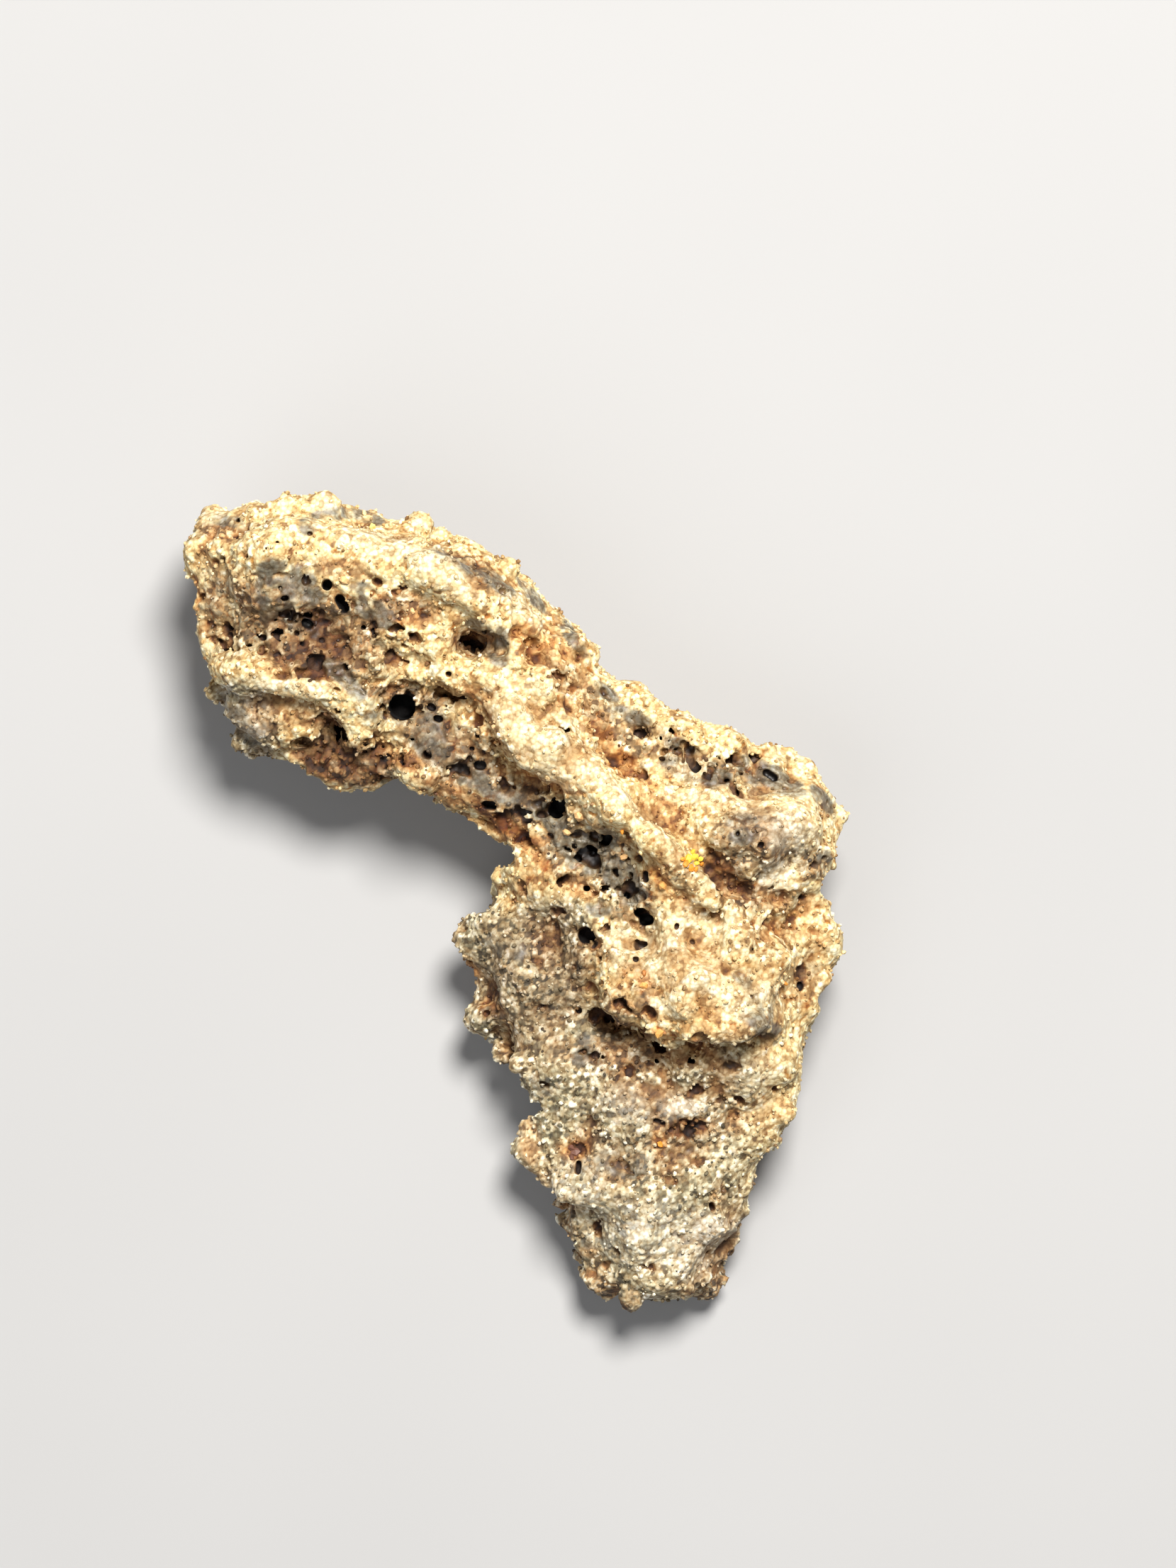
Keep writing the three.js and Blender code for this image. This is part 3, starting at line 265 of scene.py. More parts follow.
# Pale cream to white on the crests and knobs, partly pale sand and partly painted light:
PALE_AND_LIT = [
    (-13.4, 9, 1, 0.6, 0.2), (-12, 10.3, 1.6, 0.5, 0.6), (9.5, -1, 1.8, 1.2, 0.5),
    (0.4, 9.8, 2, 1.5, 0.75, -40), (3.2, 7.2, 2, 0.8, 0.8, -42), (3.2, -14.6, 1.4, 1.6, 0.35),
    (6.5, -16.8, 3, 1.8, 0.25), (9.4, -17.5, 1.6, 1.8, 0.4), (1.8, 8, 2.6, 2, 0.7, -40),
    (12.6, 5.2, 3.4, 0.8, 0.5), (12, -8.6, 1.6, 1, 0.2), (7.5, -2.2, 3, 1.8, 0.55, -10),
    (12, -4.6, 3, 1.2, 0.35), (6.4, -10.2, 2, 1, 0.3), (-6.5, 18, 2.6, 0.7, 0.8, -12),
    (-3.5, 16.6, 2, 0.7, 0.8, -35), (0.5, 14.8, 1.6, 0.4, 0.5, -40), (1.4, 8.8, 2.2, 1.3, 0.8, -40),
    (4.4, 6.2, 2, 0.5, 0.9, -38), (7.5, 3.4, 2.4, 0.35, 0.6, -45), (9.8, 5.3, 2.4, 0.4, 0.8, -5),
    (14.2, 4, 1.6, 1.4, 0.6), (8.9, 6.7, 0.7, 0.6, 0.9), (9.4, -3.9, 2.4, 0.8, 0.9, -10),
    (8, -5.2, 1, 0.6, 0.7), (13.2, 1.5, 0.8, 0.8, 0.7), (8.8, -10.4, 0.9, 0.4, 0.9),
    (6.2, -16.7, 0.8, 0.5, 0.7), (9.9, -16.6, 1, 0.7, 0.8), (9.9, -18.4, 0.6, 0.5, 0.7),
    (-14.6, 10.9, 0.5, 0.3, 0.8), (-12.7, 8.7, 0.4, 0.3, 0.7), (-15.3, 19.7, 0.6, 0.5, 0.8),
    (-9.4, 20.3, 0.6, 0.4, 0.8), (-4.7, 19.2, 0.6, 0.4, 0.8), (11, -3.6, 1.2, 0.5, 0.6, -40),
    (13.9, 7.4, 1.2, 0.3, 0.8, -5), (-10.8, 10.9, 1.8, 0.5, 0.75, -5), (10.9, -17.1, 0.9, 0.9, 0.6),
    (8.6, -3, 2.4, 0.9, 0.7, -10),
]

# Single grains that stand out: x, y, radius and colour.
YELLOW, ORANGE, RUST = (0.90, 0.62, 0.06), (0.78, 0.30, 0.03), (0.17, 0.075, 0.050)
BUFF, COPPER, LEMON = (0.80, 0.50, 0.22), (0.70, 0.36, 0.10), (0.80, 0.70, 0.22)
SINGLE_GRAINS = [
    (9.15, 2.35, 0.26, YELLOW), (9.45, 2.25, 0.20, YELLOW), (8.85, 2.30, 0.22, YELLOW),
    (9.25, 2.05, 0.20, YELLOW), (8.70, 2.05, 0.20, ORANGE), (8.95, 1.80, 0.20, ORANGE),
    (9.20, 1.75, 0.16, ORANGE), (8.55, 2.25, 0.16, ORANGE), (9.50, 2.00, 0.15, ORANGE),
    (9.05, 2.60, 0.16, YELLOW), (3.35, 4.40, 0.30, BUFF), (2.70, 3.60, 0.20, BUFF), (5.60, 2.35, 0.24, BUFF),
    (5.50, 3.62, 0.14, ORANGE), (6.60, -4.15, 0.27, (0.74, 0.36, 0.10)),
    (6.60, -3.50, 0.20, (0.50, 0.20, 0.05)),
    (7.35, -6.55, 0.26, (0.62, 0.33, 0.08)), (13.75, -4.05, 0.14, ORANGE), (-7.10, 19.00, 0.22, LEMON),
    (2.90, -12.50, 0.28, RUST), (3.15, -12.75, 0.26, RUST), (2.95, -13.00, 0.20, RUST),
    (7.55, 0.95, 0.24, COPPER), (8.00, 0.60, 0.18, BUFF), (-8.50, 16.30, 0.22, BUFF),
    (-5.05, 14.75, 0.20, BUFF), (7.45, -12.30, 0.20, ORANGE),
]

# Rails fused onto the skin: radius, rise, then the corners of a line in the plan.
RAILS = [
    # the hood's rim and the crest's sharp end
    (0.28, 0.22, (-1.6, 14.2), (-0.8, 13.95), (-0.2, 13.4), (0.05, 12.8), (0.1, 12.1)),
    (0.45, 0.25, (5.0, 5.0), (6.6, 3.5), (8.1, 2.0), (9.5, 0.8), (10.8, -0.4)),
    # the upper crest and the outer rim
    (0.60, 0.16, (-13.6, 17.9), (-11.0, 17.6), (-8.2, 18.0), (-5.6, 17.3), (-3.2, 16.1), (-0.8, 14.9),
     (1.2, 13.9)),
    (0.55, 0.30, (3.2, 13.2), (4.6, 11.8), (6.2, 10.6), (7.6, 9.2), (9.4, 8.4), (11.4, 7.6)),
    # the middle rib and the lower lip
    (0.50, 0.25, (-15.0, 12.1), (-13.0, 11.7), (-11.0, 11.0), (-9.6, 10.9)),
    (0.50, 0.20, (-7.6, 12.1), (-5.6, 11.6), (-3.4, 11.4), (-1.6, 11.3)),
    (0.40, 0.25, (-7.0, 7.4), (-5.4, 6.9), (-4.2, 6.2)),
    # the ledge's edge and the boss
    (0.40, 0.30, (6.4, -4.3), (7.2, -5.7), (8.1, -6.6), (9.2, -6.5), (10.0, -6.3), (11.0, -6.5),
     (12.6, -6.1)),
    (0.80, 0.40, (10.2, 3.6), (11.6, 3.4)), (0.60, 0.35, (12.6, 3.2), (13.2, 1.9)),
    (0.50, 0.30, (11.6, 2.0), (12.2, 1.8)),
]

# Grooves sunk into it: radius, depth, then the corners.
GROOVES = [
    # under the ledge's corner, the ledge and the boss
    (0.6, 0.8, (4.3, -6.0), (5.4, -6.1), (6.6, -6.5), (7.4, -7.1), (8.2, -7.7)),
    (0.6, 1.1, (8.9, -7.9), (9.9, -7.6), (10.9, -7.8), (12.0, -7.3), (13.4, -7.7)),
    (0.5, 0.5, (9.6, 1.9), (10.6, 0.9), (12.0, 0.4), (13.8, 0.2)),
    # over the large bubble, and below the main crest
    (0.3, 0.4, (-8.7, 11.7), (-7.4, 10.6), (-6.0, 10.7), (-4.5, 10.6), (-2.4, 10.4)),
    (0.35, 0.3, (-1.9, 9.8), (-1.5, 9.0), (-1.1, 8.0), (-0.8, 7.0), (0.6, 6.0), (2.2, 5.6)),
    # between shoulder and wing, and behind the main crest
    (0.4, 0.3, (3.7, -1.9), (3.7, -3.1), (3.8, -4.5)),
    (0.5, 0.3, (0.9, 12.9), (2.4, 11.2), (3.2, 9.8), (4.4, 8.4), (5.4, 7.2), (7.2, 5.9)),
    # under the hood and under the arm's edge
    (0.55, 0.55, (-2.7, 13.3), (-2.0, 13.0), (-0.7, 12.9)), (0.3, 0.3, (-1.9, 13.7), (-0.7, 13.4)),
    (0.35, 0.4, (-0.5, 3.9), (0.5, 3.2), (1.2, 2.4)),
]

# Lumps joined on below the ledge, along the crests' sides and below the middle rib: x, y, z, radius.
LUMPS = [
    (9.4, -8.1, 6.5, 1.5), (10.6, -8, 6.8, 1.6), (11.8, -8, 6.9, 1.6), (13, -7.9, 6.5, 1.5),
    (10.4, -9, 5.8, 1.6), (12, -9, 5.8, 1.6), (-8.6, 7.4, 6, 1.2), (-7.4, 7.3, 6.2, 1),
    (13, -9.4, 4.8, 1.3), (-7.1, 15.3, 9.4, 1.1), (-5.7, 15.4, 9.9, 1), (-9, 15.7, 9.3, 1),
    (-12, 16.4, 9.1, 2), (-10.4, 16.3, 9, 2), (-8.8, 16.5, 9.1, 2), (-7.2, 16.5, 9.2, 2),
    (-5.6, 16.6, 9.6, 1.9), (-6.7, 14.5, 9.6, 0.9), (-5.7, 14.4, 9.8, 0.9), (-4.9, 14.4, 10, 0.8),
    (-11.4, 14.8, 8.3, 1.5), (-10.2, 14.8, 8.4, 1.4), (-12.7, 9.5, 7.2, 1.3), (-11.6, 9.6, 7.4, 1.3),
    (-10.6, 9.8, 7.6, 1.3), (-13.8, 10, 7, 0.9), (5.3, -4.8, 8.9, 0.9), (5.9, -5.1, 9.1, 0.9),
    (1.6, 10.3, 10.2, 0.9), (2.3, 9.7, 10.3, 0.9), (1.1, 11.2, 10.2, 0.9), (-8.2, 14.6, 9.2, 0.9),
]


# ---- random fields ----

TILE = 32  # the random tables repeat after this many cells
CLOUDS = rng.uniform(-1, 1, (4, TILE, TILE, TILE)).astype(np.float32)
JITTER = rng.uniform(0.05, 0.95, (3, TILE, TILE, TILE)).astype(np.float32)
CHARACTER = rng.random((TILE, TILE, TILE)).astype(np.float32)


def table_index(base, step):
    """Where a lattice cell of whole numbers, moved by step, lies in the random tables."""
    i, j, k = ((base[:, n] + step[n]) & (TILE - 1) for n in range(3))
    return (i * TILE + j) * TILE + k


def cloud(points, size, table):
    """A smooth random value at each point, -1 to 1, with lumps about size mm across."""
    turn = 0.7 + table
    c, s = math.cos(turn), math.sin(turn)
    spin = np.array([(c, s, 0), (-s * c, c * c, s), (s * s, -s * c, c)], np.float32)
    places = points @ spin.T / np.float32(size) + np.float32(100)
    base = np.floor(places).astype(np.int32)
    t = places - base
    t = t * t * (3 - 2 * t)
    shares = [(1 - t[:, n], t[:, n]) for n in range(3)]
    total = np.zeros(len(points), np.float32)
    for step in itertools.product((0, 1), repeat=3):
        share = shares[0][step[0]] * shares[1][step[1]] * shares[2][step[2]]
        total += share * CLOUDS[table].take(table_index(base, step))
    return total


def grains_at(points, size):
    """Packed grains about size mm wide: how near each point is to its grain's middle, 1 there and
    about 0 in the seams, and a random number that the grain keeps."""
    places = points / np.float32(size) + np.float32(100)
    base = np.floor(places).astype(np.int32)
    inside = places - base
    nearest = np.full(len(points), 9.0, np.float32)
    number = np.zeros(len(points), np.float32)
    for step in itertools.product((-1, 0, 1), repeat=3):
        cell = table_index(base, step)
        own = CHARACTER.take(cell)
        distance = -0.25 * own
        for axis in range(3):
            away = JITTER[axis].take(cell) + (step[axis] - inside[:, axis])
            distance += away * away
        closer = distance < nearest
        np.copyto(nearest, distance, where=closer)
        np.copyto(number, own, where=closer)
    return 1 - nearest / 0.55, (number * 7919) % 1


def in_parts(work, points):
    """work(points), in parts and side by side."""
    parts = [points[n : n + 200_000] for n in range(0, len(points), 200_000)]
    with ThreadPoolExecutor(4) as pool:
        return np.concatenate(list(pool.map(work, parts)), axis=-1)


# ---- the CAD surface, for placing things on it ----

cad_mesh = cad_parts["fulgurite"].data
cad_corners = [vertex.co / MM for vertex in cad_mesh.vertices]
cad_tree = BVHTree.FromPolygons(cad_corners, [tuple(face.vertices) for face in cad_mesh.polygons])
TOP = CAD_BOX[1][2] / MM


def skin_over(x, y):
    """The upper skin's point and normal over a place of the plan, or None beside the stone."""
    point, normal, _, _ = cad_tree.ray_cast(Vector((x, y, TOP + 5)), Vector((0, 0, -1)))
    return (np.array(point), np.array(normal)) if point else (None, None)


def zone_weight(zones, points):
    """How much each point belongs to the zones, 0 to 1. A zone lies on the upper skin and fades out."""
    weight = np.zeros(len(points), np.float32)
    for x, y, length, width, strength, *turned in zones:
        centre, _ = skin_over(x, y)
        if centre is None:
            centre = np.array((x, y, 6.0))
        reach = 1.3 * max(length, width)
        near = np.nonzero((np.abs(points[:, 0] - x) < reach) & (np.abs(points[:, 1] - y) < reach))[0]
        away = points[near] - centre.astype(np.float32)
        turn = math.radians(turned[0]) if turned else 0.0
        c, s = math.cos(turn), math.sin(turn)
        along = (away[:, 0] * c + away[:, 1] * s) / length
        across = (-away[:, 0] * s + away[:, 1] * c) / width
        edge = along**2 + across**2 + (away[:, 2] / 3.0) ** 2
        weight[near] = np.maximum(weight[near], strength * np.clip(1.6 - edge, 0, 1))
    return weight


def upper(points):
    """1 on what shows from above, fading to 0 below the stone's widest level."""
    return np.clip((points[:, 2] - 3.0) / 2.5, 0, 1)


def listed_or_hidden(zones, points, level, swing, size, table, most):
    """How much the points belong to the zones, or, low on the stone, to a cloud of patches."""
    hidden = (1 - upper(points)) * np.clip(level + swing * cloud(points, size, table), 0, most)
    return np.maximum(zone_weight(zones, points), hidden)


def porous_at(points):
    return listed_or_hidden(POROUS, points, 0.5, 1.2, 4.0, 3, 0.9)


def glass_at(points):
    patches = listed_or_hidden(GLASS, points, -0.8, 3.0, 3.0, 1, 0.8)
    ragged = 1 + 0.7 * cloud(points, 0.8, 2) + 0.7 * cloud(points, 0.35, 0)
    return np.clip(1.5 * patches * ragged - 0.40, 0, 0.9)


def warm_at(points):
    ragged = 1 + 0.8 * cloud(points, 0.9, 3)
    return np.clip(listed_or_hidden(WARM, points, -0.4, 2.5, 3.4, 0, 0.8) * ragged, 0, 1)


def fine_at(points):
    """1 on the wing, the blade and the lowest lump of the arm, where the sand is finer and greyer."""
    x, y = points[:, 0], points[:, 1]
    wander = 0.9 * cloud(points, 1.5, 2)
    blade = np.clip((-6.6 + 0.6 * np.clip(7 - x, 0, 3) - y + wander) / 1.2, 0, 1)
    wing = np.clip(4.1 - x + wander, 0, 1) * np.clip(0.6 - y + wander, 0, 1)
    lump = np.clip(1.6 - ((x + 13.8) / 2.0) ** 2 - ((y - 9.2) / 2.0) ** 2 + wander, 0, 1)
    boss = 0.7 * np.clip(1.5 - ((x - 12.8) / 2.4) ** 2 - ((y - 3.0) / 1.7) ** 2, 0, 1) * upper(points)
    return np.maximum.reduce([blade * np.clip((14.6 - x + wander) / 4, 0.25, 1), wing, lump, boss])


# ---- the crust ----


def cad_field(spacing):
    """The CAD solid's signed distance, in mm, on a dense grid, with the grid's low corner."""
    points = np.zeros(len(cad_mesh.vertices) * 3, np.float32)
    cad_mesh.vertices.foreach_get("co", points)
    cad_mesh.calc_loop_triangles()
    corners = np.zeros(len(cad_mesh.loop_triangles) * 3, np.int32)
    cad_mesh.loop_triangles.foreach_get("vertices", corners)
    grid = openvdb.FloatGrid.createLevelSetFromPolygons(
        points.reshape(-1, 3) / MM,
        triangles=corners.reshape(-1, 3),
        transform=openvdb.createLinearTransform(voxelSize=spacing),
        halfWidth=6.0,
    )
    low, high = (np.array(corner) for corner in grid.evalActiveVoxelBoundingBox())
    low = low - 2
    field = np.full(high - low + 3, 6 * spacing, np.float32)
    grid.copyToArray(field, ijk=tuple(int(n) for n in low))
    return field, low


def blurred(field, width, spacing):
    """The field through a Gaussian of that width in mm."""
    axes = [np.fft.fftfreq(n, spacing) for n in field.shape[:2]] + [np.fft.rfftfreq(field.shape[2], spacing)]
    fx, fy, fz = np.meshgrid(*axes, indexing="ij", sparse=True)
    weights = np.exp(-2 * (math.pi * width) ** 2 * (fx**2 + fy**2 + fz**2))
    return np.fft.irfftn(np.fft.rfftn(field) * weights, field.shape).astype(np.float32)


def doubled(field):
    """The field on a grid twice as fine."""
    for axis in range(3):
        coarse = np.moveaxis(field, axis, 0)
        finer = np.empty((2 * len(coarse) - 1, *coarse.shape[1:]), np.float32)
        finer[::2] = coarse
        finer[1::2] = (coarse[1:] + coarse[:-1]) / 2
        field = np.moveaxis(finer, 0, axis)
    return np.ascontiguousarray(field)


def window_round(centre, reach):
    """The part of the field within reach of a centre, and its distances from the centre."""
    first = [max(0, int((c - reach) / VOXEL - n)) for c, n in zip(centre, low)]
    last = [max(0, int((c + reach) / VOXEL - n) + 2) for c, n in zip(centre, low)]
    window = tuple(slice(a, b) for a, b in zip(first, last))
    axes = [(np.arange(a, a + n) + start) * VOXEL - c
            for a, n, start, c in zip(first, field[window].shape, low, centre)]
    x, y, z = np.meshgrid(*axes, indexing="ij", sparse=True)
    return window, np.sqrt(x**2 + y**2 + z**2)


def carve(centre, radius):
    window, distance = window_round(centre, radius + 3 * VOXEL)
    field[window] = np.maximum(field[window], radius - distance)


def add(centre, radius, blend=0.35):
    """Joins a ball to the stone with a rounded seam."""
    window, distance = window_round(centre, radius + blend + 3 * VOXEL)
    here, ball = field[window], distance - radius
    share = np.clip(blend - np.abs(here - ball), 0, blend) / blend
    field[window] = np.minimum(here, ball) - share**2 * blend / 4


def mouth_of(x, y, turn):
    """A hole's place on the upper skin, the way in, and the way along its longer side."""
    mouth, normal = skin_over(x, y)
    if mouth is None:
        return None
    column = plain_form[round(x / VOXEL) - low[0], round(y / VOXEL) - low[1]]
    mouth[2] = max(mouth[2], (np.nonzero(column < 0)[0].max(initial=0) + low[2]) * VOXEL)
    inward = -(0.35 * normal + 0.65 * np.array((0, 0, 1)))
    along = np.array((math.cos(math.radians(turn)), math.sin(math.radians(turn)), 0))
    along -= normal * (along @ normal)
    return mouth, inward / np.linalg.norm(inward), along / max(np.linalg.norm(along), 0.3)


def carve_bubble(x, y, length, width, depth, turn=0):
    """A clean hole, or a shallow bowl where it is less deep than wide."""
    found = mouth_of(x, y, turn)
    if not found:
        return
    mouth, inward, along = found
    bubbles.append((mouth, inward, along, length, width, depth))
    slack = length - width
    for offset in np.linspace(-slack, slack, 1 + math.ceil(slack / (0.5 * width))):
        middle = mouth + along * offset
        if depth < width:
            radius = (width**2 + depth**2) / (2 * depth)
            carve(middle - inward * (radius - depth), radius)
            continue
        for down in np.arange(-0.6 * width - 0.2, depth - width + 0.01, 0.5 * width):
            carve(middle + inward * down, width * (1 - 0.12 * max(down, 0) / depth))


def carve_pit(x, y, length, width, depth, turn=0):
    """A ragged hole: many small bites out of the crust."""
    found = mouth_of(x, y, turn)
    if not found:
        return
    mouth, inward, along = found
    across = np.cross(inward, along)
    for _ in range(10 + int(14 * length)):
        bite = width * rng.uniform(0.35, 0.6)
        spot = rng.uniform(-1, 1, 2)
        if spot @ spot > 1:
            continue
        deep = (1 - 0.6 * spot @ spot) * depth - bite
        middle = mouth + along * spot[0] * (length - 0.5 * bite) + across * spot[1] * (width - 0.5 * bite)
        for down in np.arange(-0.2, max(deep, -0.15) + 0.01, 0.6 * bite):
            carve(middle + inward * down, bite)


def scattered(count, odds):
    """Random places on the CAD skin, with the way out there, kept by their odds."""
    faces = rng.integers(0, len(cad_mesh.polygons), count)
    centres = np.array([cad_mesh.polygons[int(n)].center for n in faces]) / MM
    normals = np.array([cad_mesh.polygons[int(n)].normal for n in faces])
    centres = (centres + rng.uniform(-0.3, 0.3, centres.shape)).astype(np.float32)
    kept = (rng.random(count) < odds(centres)) & (centres[:, 2] > 0.5)
    return zip(centres[kept], normals[kept])


def pale_and_lit_at(points):
    return zone_weight(PALE_AND_LIT, points) * np.clip(1 + 0.9 * cloud(points, 0.6, 1), 0, 1)


def pit_odds(points):
    return (0.18 * porous_at(points) * (1 - glass_at(points)) + 0.006) * (1 - pale_and_lit_at(points))


def bubble_odds(points):
    return (0.17 * porous_at(points) + 0.10 * glass_at(points) + 0.006) * (1 - pale_and_lit_at(points))


def grain_domes(points, size):
    close, stands = grains_at(points, size)
    return np.maximum(close, -0.6) * (0.25 + 1.0 * stands)


def relief(points):
    """How far the crust stands out of the smoothed form: crags, then packed grains."""
    porous, glass, fine = porous_at(points), glass_at(points), fine_at(points)
    plain = zone_weight(PALE_AND_LIT, points)
    ridges = 0.18 * (0.8 - 3.0 * np.abs(cloud(points, 1.5, 0)))
    ridges += 0.18 * (0.8 - 3.0 * np.abs(cloud(points, 0.8, 1)))
    lumps = 0.22 * cloud(points, 2.2, 2) + 0.14 * cloud(points, 1.2, 1)
    out = (0.18 + 0.82 * porous) * ridges + (0.07 + 0.09 * porous) * cloud(points, 0.6, 3)
    coarse, small = grain_domes(points, GRAIN), grain_domes(points, FINE_GRAIN)
    grainy = (0.08 + 0.06 * porous) * coarse * (1 - fine) + 0.11 * small * fine
    out = out * (1 - 0.7 * glass) * (1 - 0.4 * plain)
    return lumps + out + grainy * (1 - 0.6 * glass) * (1 - 0.2 * plain)


def along_line(corners, spacing):
    """Places on the upper skin along a line of the plan, with the way out at each."""
    for (x, y), (x2, y2) in itertools.pairwise(corners):
        steps = max(1, round(math.hypot(x2 - x, y2 - y) / spacing))
        for n in range(steps):
            point, normal = skin_over(x + (x2 - x) * n / steps, y + (y2 - y) * n / steps)
            if point is not None:
                yield point, normal


coarse_field, low = cad_field(2 * VOXEL)
field, low = doubled(blurred(coarse_field, SMOOTHING, 2 * VOXEL)), 2 * low
for x, y, radius in NUBS:
    spots = [cad_tree.find_nearest(Vector((x, y, level)))[0] for level in (2, 4, 6, 8, 10)]
    widest = min(spots, key=lambda spot: math.hypot(spot[0] - x, spot[1] - y))
    add(np.array((x, y, widest[2])), radius, 0.5)
for x, y, radius in NOTCHES:
    for level in np.arange(0.0, TOP + 0.5, 0.5 * radius):
        carve(np.array((x, y, level)), radius)
for radius, rise, *corners in RAILS:
    for point, normal in along_line(corners, 0.4 * radius):
        add(point + normal * (rise - radius), radius, 0.6)
for radius, depth, *corners in GROOVES:
    for point, normal in along_line(corners, 0.3 * radius):
        carve(point + normal * (radius - depth), radius)
for x, y, z, radius in LUMPS:
    add(np.array((x, y, z)), radius, 0.8)
plain_form = field.copy()
for pit in PITS:
    carve_pit(*pit)
for centre, normal in scattered(RANDOM_PITS, pit_odds):
    radius = rng.uniform(0.16, 0.34)
    for _ in range(4):
        spread = 0.7 * radius * rng.standard_normal(3)
        carve(centre + spread - normal * 0.3 * radius, radius * rng.uniform(0.6, 1.0))

near = np.nonzero(np.abs(field) < REACH)
places = ((np.stack(near, 1) + low) * VOXEL).astype(np.float32)
field[near] -= in_parts(relief, places)
field += 0.05

bubbles = []
for bubble in BUBBLES:
    carve_bubble(*bubble)
for centre, normal in scattered(RANDOM_BUBBLES, bubble_odds):
    radius = rng.choice((0.12, 0.15, 0.19, 0.25), p=(0.35, 0.33, 0.22, 0.10))
    inward = -(normal + rng.uniform(-0.5, 0.5, 3))
    for step in (0.0, 0.7, 1.4):
        carve(centre + inward * radius * step, radius)

np.maximum(field, 0.01 - ((np.arange(field.shape[2]) + low[2]) * VOXEL).astype(np.float32), out=field)
np.clip(field, -EDGE, EDGE, out=field)


def quads_of(field):
    """The crust's points and quads, without crumbs that hang loose and hollows that are shut in."""
    grid = openvdb.FloatGrid()
    grid.background = EDGE
    grid.transform = openvdb.createLinearTransform(voxelSize=VOXEL)
    grid.copyFromArray(field, ijk=tuple(int(n) for n in low))
    points, quads = grid.convertToQuads(isovalue=0.0)
    quads = quads[:, ::-1].astype(np.int64)
    a, b = quads.ravel(), np.roll(quads, 1, 1).ravel()
    label = np.arange(len(points))
    while True:
        least = label.copy()
        smaller = np.minimum(label[a], label[b])
        np.minimum.at(least, a, smaller)
        np.minimum.at(least, b, smaller)
        least = least[least]
        if (least == label).all():
            break
        label = least
    names, sizes = np.unique(label, return_counts=True)
    quads = quads[label[quads[:, 0]] == names[sizes.argmax()]]
    used, inverse = np.unique(quads, return_inverse=True)
    return points[used].astype(np.float32), inverse.reshape(-1, 4)


crust_points, crust_quads = quads_of(field)
air = blurred((field[::2, ::2, ::2] > 0).astype(np.float32), 0.40, 2 * VOXEL)
wide_air = blurred(np.ascontiguousarray(air), 1.1, 2 * VOXEL)


def sample(grid, points, coarser=2):
    """Trilinear samples, at points in mm, of a grid like the field but for its coarser spacing."""
    at = (points / VOXEL - low) / coarser
    base = np.clip(np.floor(at).astype(np.int32), 0, np.array(grid.shape) - 2)
    t = np.clip(at - base, 0, 1)
    total = np.zeros(len(points), np.float32)
    for corner in itertools.product((0, 1), repeat=3):
        share = np.prod(np.where(corner, t, 1 - t), axis=1)
        i, j, k = (base + corner).T
        total += share * grid[i, j, k]
    return total


def hollow_shade(points):
    """0 on what stands out, up to 1 in what is sunk or has the stone round it: how much painted shade the
    hollows get.
    """
    walled = 1.3 * (0.5 - sample(air, points)) + 1.0 * (0.45 - sample(wide_air, points))
    sunk = 0.03 - sample(plain_form, points, 1)
    return np.clip(0.9 * np.clip(walled, 0, 1) + 1.5 * np.clip(sunk, 0, 0.6), 0, 1)


def down_bubble(points):
    """How far down a listed bubble each point lies, 0 at its rim and outside it, 1 well inside."""
    deep = np.zeros(len(points), np.float32)
    for mouth, inward, along, length, width, depth in bubbles:
        near = np.nonzero((np.abs(points - mouth.astype(np.float32)) < depth + length + 0.5).all(1))[0]
        away = points[near] - mouth
        down, side = away @ inward, away @ along
        off = np.sqrt(np.maximum((away**2).sum(1) - down**2 - side**2, 0))
        side = np.maximum(np.abs(side) - (length - width), 0)
        inside = np.hypot(off, side) < 1.2 * width
        dark = inside * np.clip((down - 0.10) / 0.45, 0, 1) * min(1, 0.2 + depth / 1.9)
        deep[near] = np.maximum(deep[near], dark)
    return deep


def mottled_at(points):
    ragged = 1 + 0.8 * cloud(points, 0.9, 0)
    return np.clip(listed_or_hidden(MOTTLED, points, 0.4, 1.2, 2.6, 2, 0.8) * ragged, 0, 1)


def brown_and_shadow_at(points):
    return zone_weight(BROWN_AND_SHADOW, points) * np.clip(1 + 0.9 * cloud(points, 0.6, 0), 0, 1)


def place_facts(points):
    """What the materials read at each point, a row for each of PLACE_FACTS."""
    return np.stack([fact(points) for fact in PLACE_FACTS.values()])


def grain_facts(points):
    """Where each point lies on its packed grain: the grain's own number, and how near a seam it is."""
    fine = fine_at(points) > 0.5
    (coarse, coarse_tint), (small, small_tint) = grains_at(points, GRAIN), grains_at(points, FINE_GRAIN)
    seam = np.clip(0.55 - np.where(fine, small, coarse), 0, 1)
    return np.stack([np.where(fine, small_tint, coarse_tint), seam, down_bubble(points)])


PLACE_FACTS = {
    "glass": glass_at, "warm": warm_at, "fine": fine_at, "hollow_shade": hollow_shade, "brown_and_shadow": brown_and_shadow_at,
    "pale_and_lit": pale_and_lit_at, "mottled": mottled_at,
}
facts = dict(zip(PLACE_FACTS, in_parts(place_facts, crust_points)))
facts |= dict(zip(("tint", "seam", "bubble"), in_parts(grain_facts, crust_points)))


# ---- handing over meshes ----


